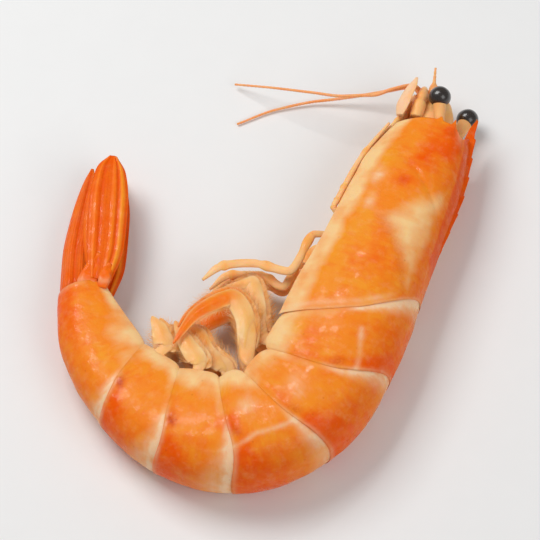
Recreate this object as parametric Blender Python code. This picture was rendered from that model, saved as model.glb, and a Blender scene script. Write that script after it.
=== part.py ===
"""Whole cooked prawn with its head on, curled up and lying on its right side.

A place on the prawn is told by three numbers, in metres: how far it lies along the spine (0 where the
head shell ends, negative towards the eyes), how far out towards the back (negative towards the belly),
and how far to the prawn's left, which is up. The spine bends in the level plane.
"""

import math

import bmesh
import bpy
from mathutils import Matrix, Vector

# Where each joint of the shell crosses the spine, and which way each stretch heads, tailwards, in
# degrees from +X: the head, the six rings and the tail fan.
HEAD_FRONT = -0.0440
JOINTS = (0.0, 0.013, 0.025, 0.036, 0.048, 0.0605, 0.0825)
FAN_END = 0.110
HEADINGS = (248.4, 248.8, 227.7, 196.0, 161.6, 135.7, 108.5, 77.0)
FAN_HEADING = 87.0

# How far each joint leans: its distance along the spine from there at the back and at the belly.
JOINT_LEANS = (
    (-0.0085, 0.0050),
    (-0.0050, 0.0015),
    (-0.0030, 0.0040),
    (-0.0005, 0.0060),
    (-0.0015, 0.0070),
    (-0.0030, 0.0055),
    (-0.0010, 0.0000),
)

# Station, height of the back and of the belly over the spine, half the width, height over the floor.
BODY_SHAPE = (
    (-0.0465, 0.0054, 0.0076, 0.0049, 0.0088),
    (-0.030, 0.0084, 0.0124, 0.0076, 0.0086),
    (-0.015, 0.0089, 0.0134, 0.0087, 0.0085),
    (0.000, 0.0098, 0.0150, 0.0089, 0.00855),
    (0.013, 0.0094, 0.0154, 0.0088, 0.00845),
    (0.025, 0.0088, 0.0149, 0.0086, 0.00825),
    (0.036, 0.0084, 0.0148, 0.0083, 0.00795),
    (0.048, 0.0077, 0.0135, 0.0075, 0.0072),
    (0.0605, 0.0067, 0.0110, 0.0064, 0.0065),
    (0.071, 0.0064, 0.0088, 0.0054, 0.0061),
    (0.0825, 0.0047, 0.0050, 0.0045, 0.0058),
)
BACK_ROUNDNESS = 0.92
SIDE_FULLNESS = 0.74
GROOVE_DEPTH = 0.34  # share of the belly's height
GROOVE_HALF_ANGLE = math.radians(28)

# Each plate of the shell starts tucked in and ends flared, as it laps over the next one.
PLATE_STEPS = ((0.0, 0.955), (0.1, 0.982), (0.28, 1.0), (0.55, 1.003), (0.85, 1.004), (1.0, 1.014))
PLATE_SIDES = 32
LOBE_DEPTH = 0.07  # how much shorter the rounded lobes at the sides are at their corners, as a share
GAP_AT_BACK = 0.00036
GAP_AT_BELLY = 0.0016
GAP = 0.0004

ROSTRUM_BACK = -0.017
ROSTRUM_TIP = (-0.0492, 0.0056)
ROSTRUM_RISE = 0.0010
ROSTRUM_ROOT_DEPTH = 0.0022
ROSTRUM_TIP_DEPTH = 0.0004
ROSTRUM_POINT = 0.86  # share of its length where it starts to fall to its tip
ROSTRUM_TEETH = 8
ROSTRUM_HALF_THICKNESS = 0.0006

# The head shell: how much its front and its rear rim differ in size from the rest, and the notches
# in its front, under the eye and at the belly.
HEAD_SHELL_STEPS = 15
HEAD_FRONT_SCALE = 0.93
HEAD_RIM_SCALE = 1.008
HEAD_RIM_SHARE = 0.93
EYE_NOTCH = 0.0016
EYE_NOTCH_AT = 42  # degrees from the back
EYE_NOTCH_SPREAD = 16
BELLY_NOTCH = 0.0032

EYE_RADIUS = 0.0021
EYES = {"left": (-0.0487, -0.0022, 0.0050), "right": (-0.0514, 0.0027, -0.0050)}

# The legs folded forwards: the root's station, the tip's station, and the lane, as a share of the
# half width. The mouth's leg-like part comes first, then the walking legs from the front.
FOLDED_LEGS = {
    "mouth_leg": (-0.0390, -0.0490, 0.10),
    "leg_1": (-0.0340, -0.0475, 0.27),
    "leg_2": (-0.0270, -0.0378, 0.10),
    "leg_3": (-0.0200, -0.0410, 0.44),
}
NARROWEST_LANES = 0.0066
LEG_TUCK = 0.94  # how deep they lie between the shell's edges, as a share of the belly's height

# The limbs that hang inwards: the root's station, the root's lane and the tip's lane to the side,
# and the bends, as distances towards the tail and outwards in the straight frame of the root.
TRAILING_LEGS = {
    "leg_4": (
        -0.0160, 0.0024, 0.0047,
        ((0.0110, -0.0156), (0.0121, -0.0221), (0.0150, -0.0271), (0.0190, -0.0294)),
    ),
    "leg_5": (
        -0.0090, 0.0011, 0.0011,
        ((0.0062, -0.0158), (0.0055, -0.0207), (0.0074, -0.0257), (0.0116, -0.0282)),
    ),
}
SWIMMERETS = {
    "swimmeret_1": (
        0.0095, 0.0023, 0.0023,
        ((-0.0060, -0.0186), (-0.0102, -0.0218), (-0.0069, -0.0262)),
    ),
    "swimmeret_2": (
        0.0220, 0.0035, 0.0035,
        ((-0.0048, -0.0200), (-0.0062, -0.0268), (0.0010, -0.0284), (0.0084, -0.0264)),
    ),
    "swimmeret_3": (0.0360, 0.0011, 0.0011, ((0.0044, -0.0188), (0.0062, -0.0228), (0.0125, -0.0243))),
    "swimmeret_4": (0.0500, 0.0023, 0.0023, ((0.0050, -0.0158), (0.0092, -0.0180))),
    "swimmeret_5": (0.0615, 0.0023, 0.0023, ((0.0036, -0.0124), (0.0068, -0.0126))),
}
LEG_ROOT_RADIUS = 0.00060
LEG_TIP_RADIUS = 0.00026
TRAILING_LEG_HALF_WIDTH = 0.0007
TRAILING_LEG_HALF_THICKNESS = 0.00045
LIMBS_HEIGHT = 0.0078  # of the middle between the limbs of both sides, over the floor
SWIMMERET_HALF_WIDTH = 0.0017
SWIMMERET_HALF_THICKNESS = 0.00043

# The long feelers' bends, in the straight frame of the head's front, and their radii.
LONG_FEELERS = {
    "left": (
        (-0.0500, -0.0058, 0.0018), (-0.0512, -0.0088, 0.0010), (-0.0490, -0.0118, 0.0012),
        (-0.0462, -0.0150, 0.0014), (-0.0444, -0.0200, 0.0008), (-0.0437, -0.0260, -0.0006),
        (-0.0434, -0.0330, -0.0030), (-0.0436, -0.0420, -0.0076),
    ),
    "right": (
        (-0.0500, -0.0058, -0.0018), (-0.0520, -0.0084, -0.0012), (-0.0516, -0.0122, -0.0034),
        (-0.0494, -0.0180, -0.0058), (-0.0462, -0.0255, -0.0076), (-0.0418, -0.0325, -0.0082),
        (-0.0360, -0.0385, -0.0083),
    ),
}
FEELER_ROOT_RADIUS = 0.00055
FEELER_TIP_RADIUS = 0.00022

SCALE_TILT = 40  # degrees, of the scales beside the mouth
FAN_TILT = 8  # degrees, of the blades, laid like a roof over the middle piece
INNER_RIDGE = 0.35
OUTER_RIDGE = 0.40

SHELL = (0.86, 0.30, 0.06)
PALE_SHELL = (0.88, 0.58, 0.30)
FAN_SHELL = (0.78, 0.18, 0.03)
LEG_SHELL = (0.86, 0.66, 0.36)
EYE_BLACK = (0.012, 0.008, 0.008)


def smooth(x, xs, ys):
    """The value at x of a smooth curve through the points, which never overshoots them."""
    if x <= xs[0]:
        return ys[0]
    if x >= xs[-1]:
        return ys[-1]
    slopes = [(b - a) / (d - c) for a, b, c, d in zip(ys, ys[1:], xs, xs[1:])]
    tangents = [slopes[0]]
    for before, after in zip(slopes, slopes[1:]):
        tangents.append(2 * before * after / (before + after) if before * after > 0 else 0.0)
    tangents.append(slopes[-1])
    i = max(k for k in range(len(xs) - 1) if xs[k] <= x)
    step = xs[i + 1] - xs[i]
    t = (x - xs[i]) / step
    ends = ys[i] * (1 + 2 * t) * (1 - t) ** 2 + ys[i + 1] * t * t * (3 - 2 * t)
    bends = tangents[i] * t * (1 - t) ** 2 + tangents[i + 1] * t * t * (t - 1)
    return ends + bends * step


SPINE_START = -0.070
SPINE_STEP = 0.00025


def trace_spine():
    """The spine's x, y and heading at even steps; the joint behind the head shell is near 0, 0."""
    ends = (HEAD_FRONT,) + JOINTS + (FAN_END,)
    middles = [(a + b) / 2 for a, b in zip(ends, ends[1:])]
    x = y = 0.0
    rows = []
    for k in range(round((FAN_END - SPINE_START) / SPINE_STEP)):
        station = SPINE_START + k * SPINE_STEP
        heading = math.radians(smooth(station, middles, HEADINGS))
        rows.append((x, y, heading))
        x += math.cos(heading) * SPINE_STEP
        y += math.sin(heading) * SPINE_STEP
    return rows


SPINE = trace_spine()


def spine_at(station):
    """The spine's x, y and heading at a station."""
    place = (station - SPINE_START) / SPINE_STEP
    i = min(max(int(place), 0), len(SPINE) - 2)
    t = place - i
    return [a + (b - a) * t for a, b in zip(SPINE[i], SPINE[i + 1])]


def shape_at(station):
    """Height of the back, height of the belly, half width and height over the floor at a station."""
    stations = [row[0] for row in BODY_SHAPE]
    return [smooth(station, stations, [row[k] for row in BODY_SHAPE]) for k in range(1, 5)]


def locate(frame_station, along, out, side):
    """A point in the straight frame of a station: so far towards the tail, outwards and to the left."""
    x, y, heading = spine_at(frame_station)
    tailward = Vector((math.cos(heading), math.sin(heading), 0))
    outward = Vector((-tailward.y, tailward.x, 0))
    floor_height = shape_at(frame_station)[3]
    return Vector((x, y, floor_height + side)) + tailward * along + outward * out


def skin_place(station, angle, scale, lobe=1.0):
    """Distance outwards and to the left of the shell's skin; the angle goes from the back to the left.
    The lobe shortens the belly's half alone."""
    back, belly, width, _ = shape_at(station)
    c, s = math.cos(angle), math.sin(angle)
    if c > 0:
        out = back * c ** BACK_ROUNDNESS
        side = width * abs(s) ** BACK_ROUNDNESS
    else:
        from_middle = abs(angle - math.pi) / GROOVE_HALF_ANGLE
        dent = 0.5 + 0.5 * math.cos(math.pi * min(from_middle, 1))
        out = belly * c * (1 - GROOVE_DEPTH * dent) * lobe
        side = width * abs(s) ** SIDE_FULLNESS
    return out * scale, math.copysign(side, s) * scale


def skin(station, angle, scale=1.0, lobe=1.0):
    """A point on the shell's skin, cut off level where it would go below the floor."""
    out, side = skin_place(station, angle, scale, lobe)
    point = locate(station, 0, out, side)
    point.z = max(point.z, 0)
    return point


def belly_at(station, side):
    """How far out the skin of the belly lies at a distance to the side of the middle."""
    previous = skin_place(station, math.pi, 1)
    for k in range(1, 60):
        here = skin_place(station, math.pi - k * math.pi / 120, 1)
        if here[1] >= side:
            t = (side - previous[1]) / (here[1] - previous[1])
            return previous[0] + (here[0] - previous[0]) * t
        previous = here
    return previous[0]


def make_object(name, mesh_builder, material, keep_sharp=40):
    """A named object from a bmesh, with its faces turned outwards and its round sides shaded smooth."""
    bmesh.ops.recalc_face_normals(mesh_builder, faces=mesh_builder.faces)
    mesh = bpy.data.meshes.new(name)
    mesh_builder.to_mesh(mesh)
    mesh_builder.free()
    mesh.shade_smooth()
    mesh.set_sharp_from_angle(angle=math.radians(keep_sharp))
    mesh.materials.append(material)
    obj = bpy.data.objects.new(name, mesh)
    bpy.context.collection.objects.link(obj)
    return obj


def skin_over(rows):
    """A closed skin over rows of points, each a closed loop, with both ends capped by a fan."""
    bm = bmesh.new()
    loops = [[bm.verts.new(point) for point in row] for row in rows]
    count = len(loops[0])
    for near, far in zip(loops, loops[1:]):
        for k in range(count):
            after = (k + 1) % count
            bm.faces.new((near[k], near[after], far[after], far[k]))
    for loop in (loops[0], loops[-1]):
        middle = bm.verts.new(sum((v.co for v in loop), Vector()) / count)
        for k in range(count):
            bm.faces.new((loop[k], loop[(k + 1) % count], middle))
    return bm


def finish(name, colour, roughness):
    """A plain material."""
    material = bpy.data.materials.new(name)
    material.use_nodes = True
    shader = material.node_tree.nodes["Principled BSDF"]
    shader.inputs["Base Color"].default_value = (*colour, 1)
    shader.inputs["Roughness"].default_value = roughness
    shader.inputs["Metallic"].default_value = 0
    return material


def joint_station(joint, angle, after):
    """Where a plate ends before a joint, or the next one starts after it, at an angle round the body."""
    towards_back = math.cos(angle)
    at_back, at_belly = JOINT_LEANS[joint]
    lean = (at_back - at_belly) / 2 * towards_back + (at_back + at_belly) / 2 * towards_back ** 2
    gap = GAP_AT_BACK + (GAP_AT_BELLY - GAP_AT_BACK) * (0.5 - 0.5 * towards_back)
    middle = JOINTS[joint] + lean
    return middle + gap / 2 if after else middle - gap / 2


def angles():
    return [2 * math.pi * k / PLATE_SIDES for k in range(PLATE_SIDES)]


def make_ring(number):
    """One ring of the tail's shell, filled with its meat, with a rounded lobe on each side."""
    rows = []
    for share, scale in PLATE_STEPS:
        lobe = 1 - LOBE_DEPTH * abs(2 * share - 1) ** 3
        row = []
        for angle in angles():
            start = joint_station(number - 1, angle, True)
            end = joint_station(number, angle, False)
            row.append(skin(start + (end - start) * share, angle, scale, lobe))
        rows.append(row)
    return make_object(f"ring_{number}", skin_over(rows), finish(f"ring_{number}", SHELL, 0.3))


def rostrum_top(station):
    """Height of the toothed crest over the spine; each tooth rises forwards and then drops."""
    back = shape_at(station)[0]
    share = (ROSTRUM_BACK - station) / (ROSTRUM_BACK - ROSTRUM_TIP[0])
    rise = ROSTRUM_RISE * math.sin(math.pi * min(share * 1.2, 1) / 2)
    tooth = (share * ROSTRUM_TEETH) % 1
    level = back + rise * (0.55 + 0.45 * tooth)
    fall = max(share - ROSTRUM_POINT, 0) / (1 - ROSTRUM_POINT)
    return level + (ROSTRUM_TIP[1] - level) * fall


def make_rostrum_blade():
    """The thin toothed crest on the head shell, with a free point in front of it."""
    length = ROSTRUM_BACK - ROSTRUM_TIP[0]
    shares = []
    for tooth in range(ROSTRUM_TEETH):
        shares += [(tooth + part) / ROSTRUM_TEETH for part in (0.02, 0.5, 0.97)]
    rows = []
    for share in shares:
        station = ROSTRUM_BACK - length * share
        top = rostrum_top(station)
        free = max((HEAD_FRONT - station) / (HEAD_FRONT - ROSTRUM_TIP[0]), 0)
        bottom = min(shape_at(station)[0] - ROSTRUM_ROOT_DEPTH * (1 - free), top - ROSTRUM_TIP_DEPTH)
        row = []
        for out, side in ((top, 0.35), (top, -0.35), (bottom, -1), (bottom, 1)):
            row.append(locate(station, 0, out, side * ROSTRUM_HALF_THICKNESS))
        rows.append(row)
    return make_object("rostrum_blade", skin_over(rows), finish("rostrum_blade", FAN_SHELL, 0.3), 30)


def head_margin(angle):
    """Where the head shell starts at an angle round it: further back under the eye and at the belly."""
    from_back = math.degrees(min(angle, 2 * math.pi - angle))
    eye_notch = math.exp(-((from_back - EYE_NOTCH_AT) / EYE_NOTCH_SPREAD) ** 2)
    belly_notch = max(-math.cos(angle), 0) ** 2
    return HEAD_FRONT + EYE_NOTCH * eye_notch + BELLY_NOTCH * belly_notch


def make_head_shell():
    """The head's shell with its meat, and the toothed crest joined on."""
    rows = []
    for k in range(HEAD_SHELL_STEPS + 1):
        share = k / HEAD_SHELL_STEPS
        scale = 1.0
        if share > HEAD_RIM_SHARE:
            scale = HEAD_RIM_SCALE
        if k == 0:
            scale = HEAD_FRONT_SCALE
        row = []
        for angle in angles():
            start = head_margin(angle)
            end = joint_station(0, angle, False)
            row.append(skin(start + (end - start) * share, angle, scale))
        rows.append(row)
    shell = make_object("carapace", skin_over(rows), finish("carapace", SHELL, 0.3))
    blade = make_rostrum_blade()
    blade.hide_render = True
    blade.display_type = "WIRE"
    union = shell.modifiers.new("join_crest", "BOOLEAN")
    union.operation = "UNION"
    union.solver = "EXACT"
    union.object = blade
    return shell


def make_limb(name, points, material, count=9, sides=8, tilt=0.0, ridge=0.0):
    """A bent, tapering limb: rows of centre, half width in the level and half thickness, read from
    a smooth curve through the given ones. It may be tilted about its length and ridged along it."""
    indexes = list(range(len(points)))
    centres = []
    sizes = []
    for k in range(count):
        x = k * indexes[-1] / (count - 1)
        centres.append(Vector([smooth(x, indexes, [p[0][axis] for p in points]) for axis in range(3)]))
        sizes.append([smooth(x, indexes, [p[part] for p in points]) for part in (1, 2)])
    rows = []
    for k in range(count):
        tangent = (centres[min(k + 1, count - 1)] - centres[max(k - 1, 0)]).normalized()
        across = tangent.cross(Vector((0, 0, 1))).normalized()
        turn = Matrix.Rotation(math.radians(tilt), 3, tangent)
        wide = turn @ across
        thick = turn @ across.cross(tangent)
        row = []
        for step in range(sides):
            angle = 2 * math.pi * step / sides
            u, v = math.cos(angle), math.sin(angle)
            raised = 1 + ridge * math.exp(-(u / 0.3) ** 2)
            row.append(centres[k] + wide * (u * sizes[k][0]) + thick * (v * raised * sizes[k][1]))
        rows.append(row)
    return make_object(name, skin_over(rows), material)


def make_eye(side, sign):
    """One black eye and the stalk that carries it."""
    along, out, up = EYES[side]
    centre = head_point(along, out, up)
    bm = bmesh.new()
    bmesh.ops.create_uvsphere(bm, u_segments=14, v_segments=9, radius=EYE_RADIUS)
    bmesh.ops.scale(bm, vec=(1.0, 0.94, 0.98), verts=bm.verts)
    bmesh.ops.translate(bm, vec=centre, verts=bm.verts)
    make_object(f"eye_{side}", bm, finish(f"eye_{side}", EYE_BLACK, 0.1))
    root = head_point(HEAD_FRONT - 0.0010, out * 0.5 + 0.0008, sign * 0.0034)
    reach = centre - root
    end = root + reach.normalized() * (reach.length - EYE_RADIUS - GAP)
    points = [(root, 0.0010, 0.0010), ((root + end) / 2, 0.0011, 0.0011), (end, 0.0013, 0.0013)]
    make_limb(f"eyestalk_{side}", points, finish(f"eyestalk_{side}", PALE_SHELL, 0.35), count=4, sides=10)


def head_point(along, out, side):
    """A point in the straight frame of the head's front."""
    return locate(HEAD_FRONT, along - HEAD_FRONT, out, side)


def make_head_front():
    """The blunt front of the head, under the eyes."""
    points = [
        (head_point(HEAD_FRONT - 0.0006, -0.0026, 0), 0.0040, 0.0030),
        (head_point(HEAD_FRONT - 0.0025, -0.0028, 0), 0.0041, 0.0029),
        (head_point(HEAD_FRONT - 0.0048, -0.0034, 0), 0.0034, 0.0024),
        (head_point(HEAD_FRONT - 0.0062, -0.0040, 0), 0.0024, 0.0018),
    ]
    make_limb("head_front", points, finish("head_front", PALE_SHELL, 0.35), count=7, sides=14)


def make_feelers(side, sign):
    """The scale beside the mouth, the short feeler and the long one, on one side."""
    scale_points = [
        (head_point(-0.0430, -0.0081, sign * 0.0036), 0.00035, 0.0010),
        (head_point(-0.0455, -0.0083, sign * 0.0040), 0.00042, 0.0020),
        (head_point(-0.0490, -0.0082, sign * 0.0038), 0.00040, 0.0017),
        (head_point(-0.0518, -0.0080, sign * 0.0033), 0.00025, 0.0004),
    ]
    plain = finish(f"scale_{side}", PALE_SHELL, 0.35)
    make_limb(f"scale_{side}", scale_points, plain, count=8, sides=10, tilt=sign * SCALE_TILT)

    short_points = [
        (head_point(-0.0507, -0.0042, sign * 0.0012), 0.00100, 0.00090),
        (head_point(-0.0521, -0.0046, sign * 0.0014), 0.00080, 0.00075),
        (head_point(-0.0531, -0.0049, sign * 0.0017), 0.00035, 0.00035),
        (head_point(-0.0556, -0.0056, sign * 0.0026), 0.00020, 0.00020),
    ]
    make_limb(f"short_feeler_{side}", short_points, finish(f"short_feeler_{side}", LEG_SHELL, 0.35), sides=6)

    last = len(LONG_FEELERS[side]) - 1
    points = []
    for k, (along, out, up) in enumerate(LONG_FEELERS[side]):
        radius = FEELER_ROOT_RADIUS - (FEELER_ROOT_RADIUS - FEELER_TIP_RADIUS) * k / last
        points.append((head_point(along, out, up), radius, radius))
    make_limb(f"long_feeler_{side}", points, finish(f"long_feeler_{side}", LEG_SHELL, 0.35), count=22, sides=6)


def make_folded_leg(name, root, tip, lane, sign):
    """A leg folded forwards under the head shell, in a lane of its own."""
    points = []
    for share, drop, size in ((0, 0, 0.8), (0.09, 0.6, 1.0), (0.22, 1.0, 1.0), (0.6, 1.0, 0.8), (1, 0.9, 0)):
        along = root + (tip - root) * share
        _, belly, width, _ = shape_at(along)
        side = lane * max(width, NARROWEST_LANES)
        start = belly_at(along, side) - LEG_ROOT_RADIUS - GAP
        out = start + (min(-belly * LEG_TUCK, start) - start) * drop
        radius = LEG_TIP_RADIUS + (LEG_ROOT_RADIUS - LEG_TIP_RADIUS) * size
        points.append((head_point(along, out, sign * side), radius, radius))
    make_limb(name, points, finish(name, LEG_SHELL, 0.35), count=12, sides=6)


def make_hanging_limb(name, spec, sign, half_width, half_thickness, colour):
    """A limb that leaves the groove of the belly and bends inwards, in a lane of its own."""
    station, root_lane, tip_lane, bends = spec
    _, belly, _, floor_height = shape_at(station)
    level = LIMBS_HEIGHT - floor_height
    root_side = level + sign * root_lane
    root_out = belly_at(station, abs(root_side)) - half_thickness - GAP
    places = [(0, root_out), (bends[0][0] * 0.15, -belly - 0.0006)] + list(bends)
    last = len(places) - 1
    points = []
    for k, (along, out) in enumerate(places):
        share = min(k / (last - 1), 1)
        side = level + sign * (root_lane + (tip_lane - root_lane) * share)
        size = (0.6, 0.85)[k] if k < 2 else 1.0
        if k == last:
            size = 0.3
        thickness = half_thickness * (0.5 + 0.5 * size)
        points.append((locate(station, along, out, side), half_width * size, thickness))
    make_limb(name, points, finish(name, colour, 0.35), count=14, sides=8)


def make_limbs(side, sign):
    """The legs and the swimmerets of one side."""
    for name, (root, tip, lane) in FOLDED_LEGS.items():
        make_folded_leg(f"{name}_{side}", root, tip, lane, sign)
    for name, spec in TRAILING_LEGS.items():
        make_hanging_limb(
            f"{name}_{side}", spec, sign, TRAILING_LEG_HALF_WIDTH, TRAILING_LEG_HALF_THICKNESS, LEG_SHELL
        )
    for name, spec in SWIMMERETS.items():
        make_hanging_limb(
            f"{name}_{side}", spec, sign, SWIMMERET_HALF_WIDTH, SWIMMERET_HALF_THICKNESS, PALE_SHELL
        )


def fan_point(along, out, side):
    """A point in the straight frame of the fan, which starts at the last joint."""
    x, y, _ = spine_at(JOINTS[-1])
    heading = math.radians(FAN_HEADING)
    tailward = Vector((math.cos(heading), math.sin(heading), 0))
    outward = Vector((-tailward.y, tailward.x, 0))
    return Vector((x, y, shape_at(JOINTS[-1])[3] + side)) + tailward * along + outward * out


def make_blade(name, points, tilt, ridge):
    """One ridged blade of the tail fan."""
    make_limb(name, points, finish(name, FAN_SHELL, 0.3), count=10, sides=12, tilt=tilt, ridge=ridge)


def make_fan():
    """The closed tail fan: a pointed middle piece with two blades on each side, laid like a roof."""
    middle = [
        (fan_point(0.0007, 0.0018, 0), 0.0027, 0.0030),
        (fan_point(0.0070, 0.0020, 0), 0.0026, 0.0022),
        (fan_point(0.0160, 0.0014, 0), 0.0021, 0.0016),
        (fan_point(0.0225, 0.0007, 0), 0.0013, 0.0010),
        (fan_point(0.0260, 0.0004, 0), 0.0003, 0.0003),
    ]
    make_limb("telson", middle, finish("telson", FAN_SHELL, 0.3), count=10, sides=10)
    for side, sign in (("left", 1), ("right", -1)):
        inner = [
            (fan_point(0.0009, -0.0026, sign * 0.0016), 0.0014, 0.0007),
            (fan_point(0.0080, -0.0018, sign * 0.0026), 0.0024, 0.0006),
            (fan_point(0.0165, -0.0020, sign * 0.0026), 0.0030, 0.0005),
            (fan_point(0.0235, -0.0026, sign * 0.0022), 0.0022, 0.0004),
            (fan_point(0.0262, -0.0030, sign * 0.0020), 0.0006, 0.0003),
        ]
        name = f"fan_inner_{side}"
        make_blade(name, inner, sign * FAN_TILT, INNER_RIDGE)
        outer = [
            (fan_point(0.0007, -0.0030, sign * 0.0038), 0.0022, 0.0006),
            (fan_point(0.0080, -0.0036, sign * 0.0042), 0.0035, 0.0006),
            (fan_point(0.0170, -0.0035, sign * 0.0041), 0.0037, 0.0006),
            (fan_point(0.0240, -0.0034, sign * 0.0036), 0.0028, 0.0005),
            (fan_point(0.0272, -0.0036, sign * 0.0033), 0.0008, 0.0003),
        ]
        name = f"fan_outer_{side}"
        make_blade(name, outer, sign * FAN_TILT, OUTER_RIDGE)


def centre_on_floor():
    """Shifts all sub-parts in the level so that the middle of the whole sits over the origin."""
    bpy.context.view_layer.update()
    solids = [obj for obj in bpy.data.objects if obj.type == "MESH" and not obj.hide_render]
    corners = [obj.matrix_world @ Vector(corner) for obj in solids for corner in obj.bound_box]
    shift = Vector((0, 0, 0))
    for axis in (0, 1):
        values = [corner[axis] for corner in corners]
        shift[axis] = -(min(values) + max(values)) / 2
    for obj in bpy.data.objects:
        obj.data.transform(Matrix.Translation(shift))


def main():
    for obj in list(bpy.data.objects):
        bpy.data.objects.remove(obj)
    make_head_shell()
    for number in range(1, len(JOINTS)):
        make_ring(number)
    make_head_front()
    make_fan()
    for side, sign in (("left", 1), ("right", -1)):
        make_eye(side, sign)
        make_feelers(side, sign)
        make_limbs(side, sign)
    centre_on_floor()


main()
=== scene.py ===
import math

import bmesh
import bpy
import numpy as np
from bpy.props import FloatProperty, FloatVectorProperty, IntProperty, PointerProperty
from mathutils import Matrix, Vector, noise


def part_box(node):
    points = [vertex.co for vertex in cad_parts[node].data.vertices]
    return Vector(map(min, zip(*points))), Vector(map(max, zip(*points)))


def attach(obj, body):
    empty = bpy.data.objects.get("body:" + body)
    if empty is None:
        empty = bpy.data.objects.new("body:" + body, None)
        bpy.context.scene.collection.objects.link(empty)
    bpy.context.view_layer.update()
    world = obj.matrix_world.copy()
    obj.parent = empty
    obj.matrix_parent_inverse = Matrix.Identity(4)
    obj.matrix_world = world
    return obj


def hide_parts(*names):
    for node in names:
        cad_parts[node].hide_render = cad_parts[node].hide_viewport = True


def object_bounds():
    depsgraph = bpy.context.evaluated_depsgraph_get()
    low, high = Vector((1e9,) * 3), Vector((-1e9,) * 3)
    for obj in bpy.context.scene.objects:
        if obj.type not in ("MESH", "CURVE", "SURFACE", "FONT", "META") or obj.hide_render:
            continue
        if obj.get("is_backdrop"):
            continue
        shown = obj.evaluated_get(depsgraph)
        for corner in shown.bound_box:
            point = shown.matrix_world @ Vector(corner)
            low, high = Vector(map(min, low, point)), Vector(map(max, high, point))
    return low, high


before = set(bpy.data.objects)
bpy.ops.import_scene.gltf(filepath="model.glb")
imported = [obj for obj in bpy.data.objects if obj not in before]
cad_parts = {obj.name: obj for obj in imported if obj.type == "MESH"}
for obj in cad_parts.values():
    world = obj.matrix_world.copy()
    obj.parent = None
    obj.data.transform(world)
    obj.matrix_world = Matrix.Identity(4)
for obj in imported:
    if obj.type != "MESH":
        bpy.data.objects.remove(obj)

# A cooked whole prawn, curled up on its right side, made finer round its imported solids.
#
# A place on the prawn is told by three numbers, in metres: how far it lies along the spine (0 where the
# head shell ends, negative towards the eyes), how far out towards the back (negative towards the belly),
# and how far to the prawn's left, which is up. The spine bends in the level plane. An angle round the
# body starts at the back and grows over the left side towards the belly.

bl_info = {
    "name": "Cooked whole prawn",
    "version": (1, 0, 0),
    "blender": (4, 5, 0),
    "location": "View3D > Sidebar > Prawn",
    "description": "Makes the shell, the meat, the limbs and the tail fan of a cooked prawn",
    "category": "Add Mesh",
}

# The spine: its joints, and which way each stretch heads, tailwards, in degrees from +X.
HEAD_FRONT = -0.0440
JOINTS = (0.0, 0.013, 0.025, 0.036, 0.048, 0.0605, 0.0825)
FAN_END = 0.110
HEADINGS = (248.4, 248.8, 227.7, 196.0, 161.6, 135.7, 108.5, 77.0)
FAN_HEADING = 87.0
SPINE_START = -0.070
SPINE_STEP = 0.00025

# How far each joint leans: its distance along the spine from there at the back and at the belly.
JOINT_LEANS = (
    (-0.0085, 0.0050),
    (-0.0050, 0.0015),
    (-0.0030, 0.0040),
    (-0.0005, 0.0060),
    (-0.0015, 0.0070),
    (-0.0030, 0.0055),
    (-0.0010, 0.0000),
)

# Station, height of the back and of the belly over the spine, half the width, height over the floor.
BODY_SHAPE = (
    (-0.0465, 0.0054, 0.0076, 0.0049, 0.0088),
    (-0.030, 0.0084, 0.0124, 0.0076, 0.0086),
    (-0.015, 0.0089, 0.0134, 0.0087, 0.0085),
    (0.000, 0.0098, 0.0150, 0.0089, 0.00855),
    (0.013, 0.0094, 0.0154, 0.0088, 0.00845),
    (0.025, 0.0088, 0.0149, 0.0086, 0.00825),
    (0.036, 0.0084, 0.0148, 0.0083, 0.00795),
    (0.048, 0.0077, 0.0135, 0.0075, 0.0072),
    (0.0605, 0.0067, 0.0110, 0.0064, 0.0065),
    (0.071, 0.0064, 0.0088, 0.0054, 0.0061),
    (0.0825, 0.0047, 0.0050, 0.0045, 0.0058),
)
BACK_ROUNDNESS = 0.92
SIDE_FULLNESS = 0.74
GROOVE_DEPTH = 0.34
GROOVE_HALF_ANGLE = math.radians(28)
LOBE_DEPTH = 0.09
FIRST_RING_FRONT_DIP = 0.45

# The shell's dents and bulges: their size, how far they rise, and the seed of their places.
DENTS = ((0.0035, 0.00010, 1), (0.007, 0.00013, 3))

# The plates are thin shells, open along the belly, that lap over one another.
PLATE_EDGE_ANGLE = math.radians(157)
PLATE_COLUMNS = 150
PLATE_ROWS = 44
TUCKED_ROWS = 8
HEAD_COLUMNS = 190
HEAD_ROWS = 150
SEAM_CLOSING = 0.0001  # how far each plate reaches past its rear joint
TUCK = 0.00004  # how far a plate's front lies under the one before it, and how much deeper further in
TUCK_MORE = 0.00026
TUCK_LENGTH = 0.0009
TUCK_MORE_LENGTH = 0.0012
RIM_RISE = 0.00002
RIM_WIDTH = 0.0009
RIM_SOFTNESS = 0.0005
RIM_GROOVE_DEPTH = 0.00004
RIM_GROOVE_PLACE = 0.0014
RIM_GROOVE_WIDTH = 0.0005
RIM_THINNING = 0.85
RIM_TAPER = 0.0015
SIDE_RIDGE_ANGLE = math.radians(60)
SIDE_RIDGE_WIDTH = math.radians(5)
SIDE_RIDGE_RISE = 0.00004
SIDE_RIDGE_START = 0.15

# The hinge between two rings shows as a dark dot, strong on these rings: degrees and length.
HINGE_ANGLE = 86
HINGE_SPREAD = 6.5
HINGE_LENGTH = 0.0009
DARK_HINGES = (4, 5)

# The facet at the front of each ring: its length along the back, how pale it is, and its form. How pale it is
# also sets the painted highlight along its front edge.
FACETS = (0.0034, 0.0027, 0.0024, 0.0036, 0.0034, 0.0025)
FACET_PALENESS_AND_HIGHLIGHT = (1.00, 0.60, 0.50, 0.74, 0.78, 0.72)
FACET_HALF_ANGLE = math.radians(96)
FACET_SINK = 0.00008
FACET_EDGE = 0.0012
SHORTEST_FACET = 0.0010

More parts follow.
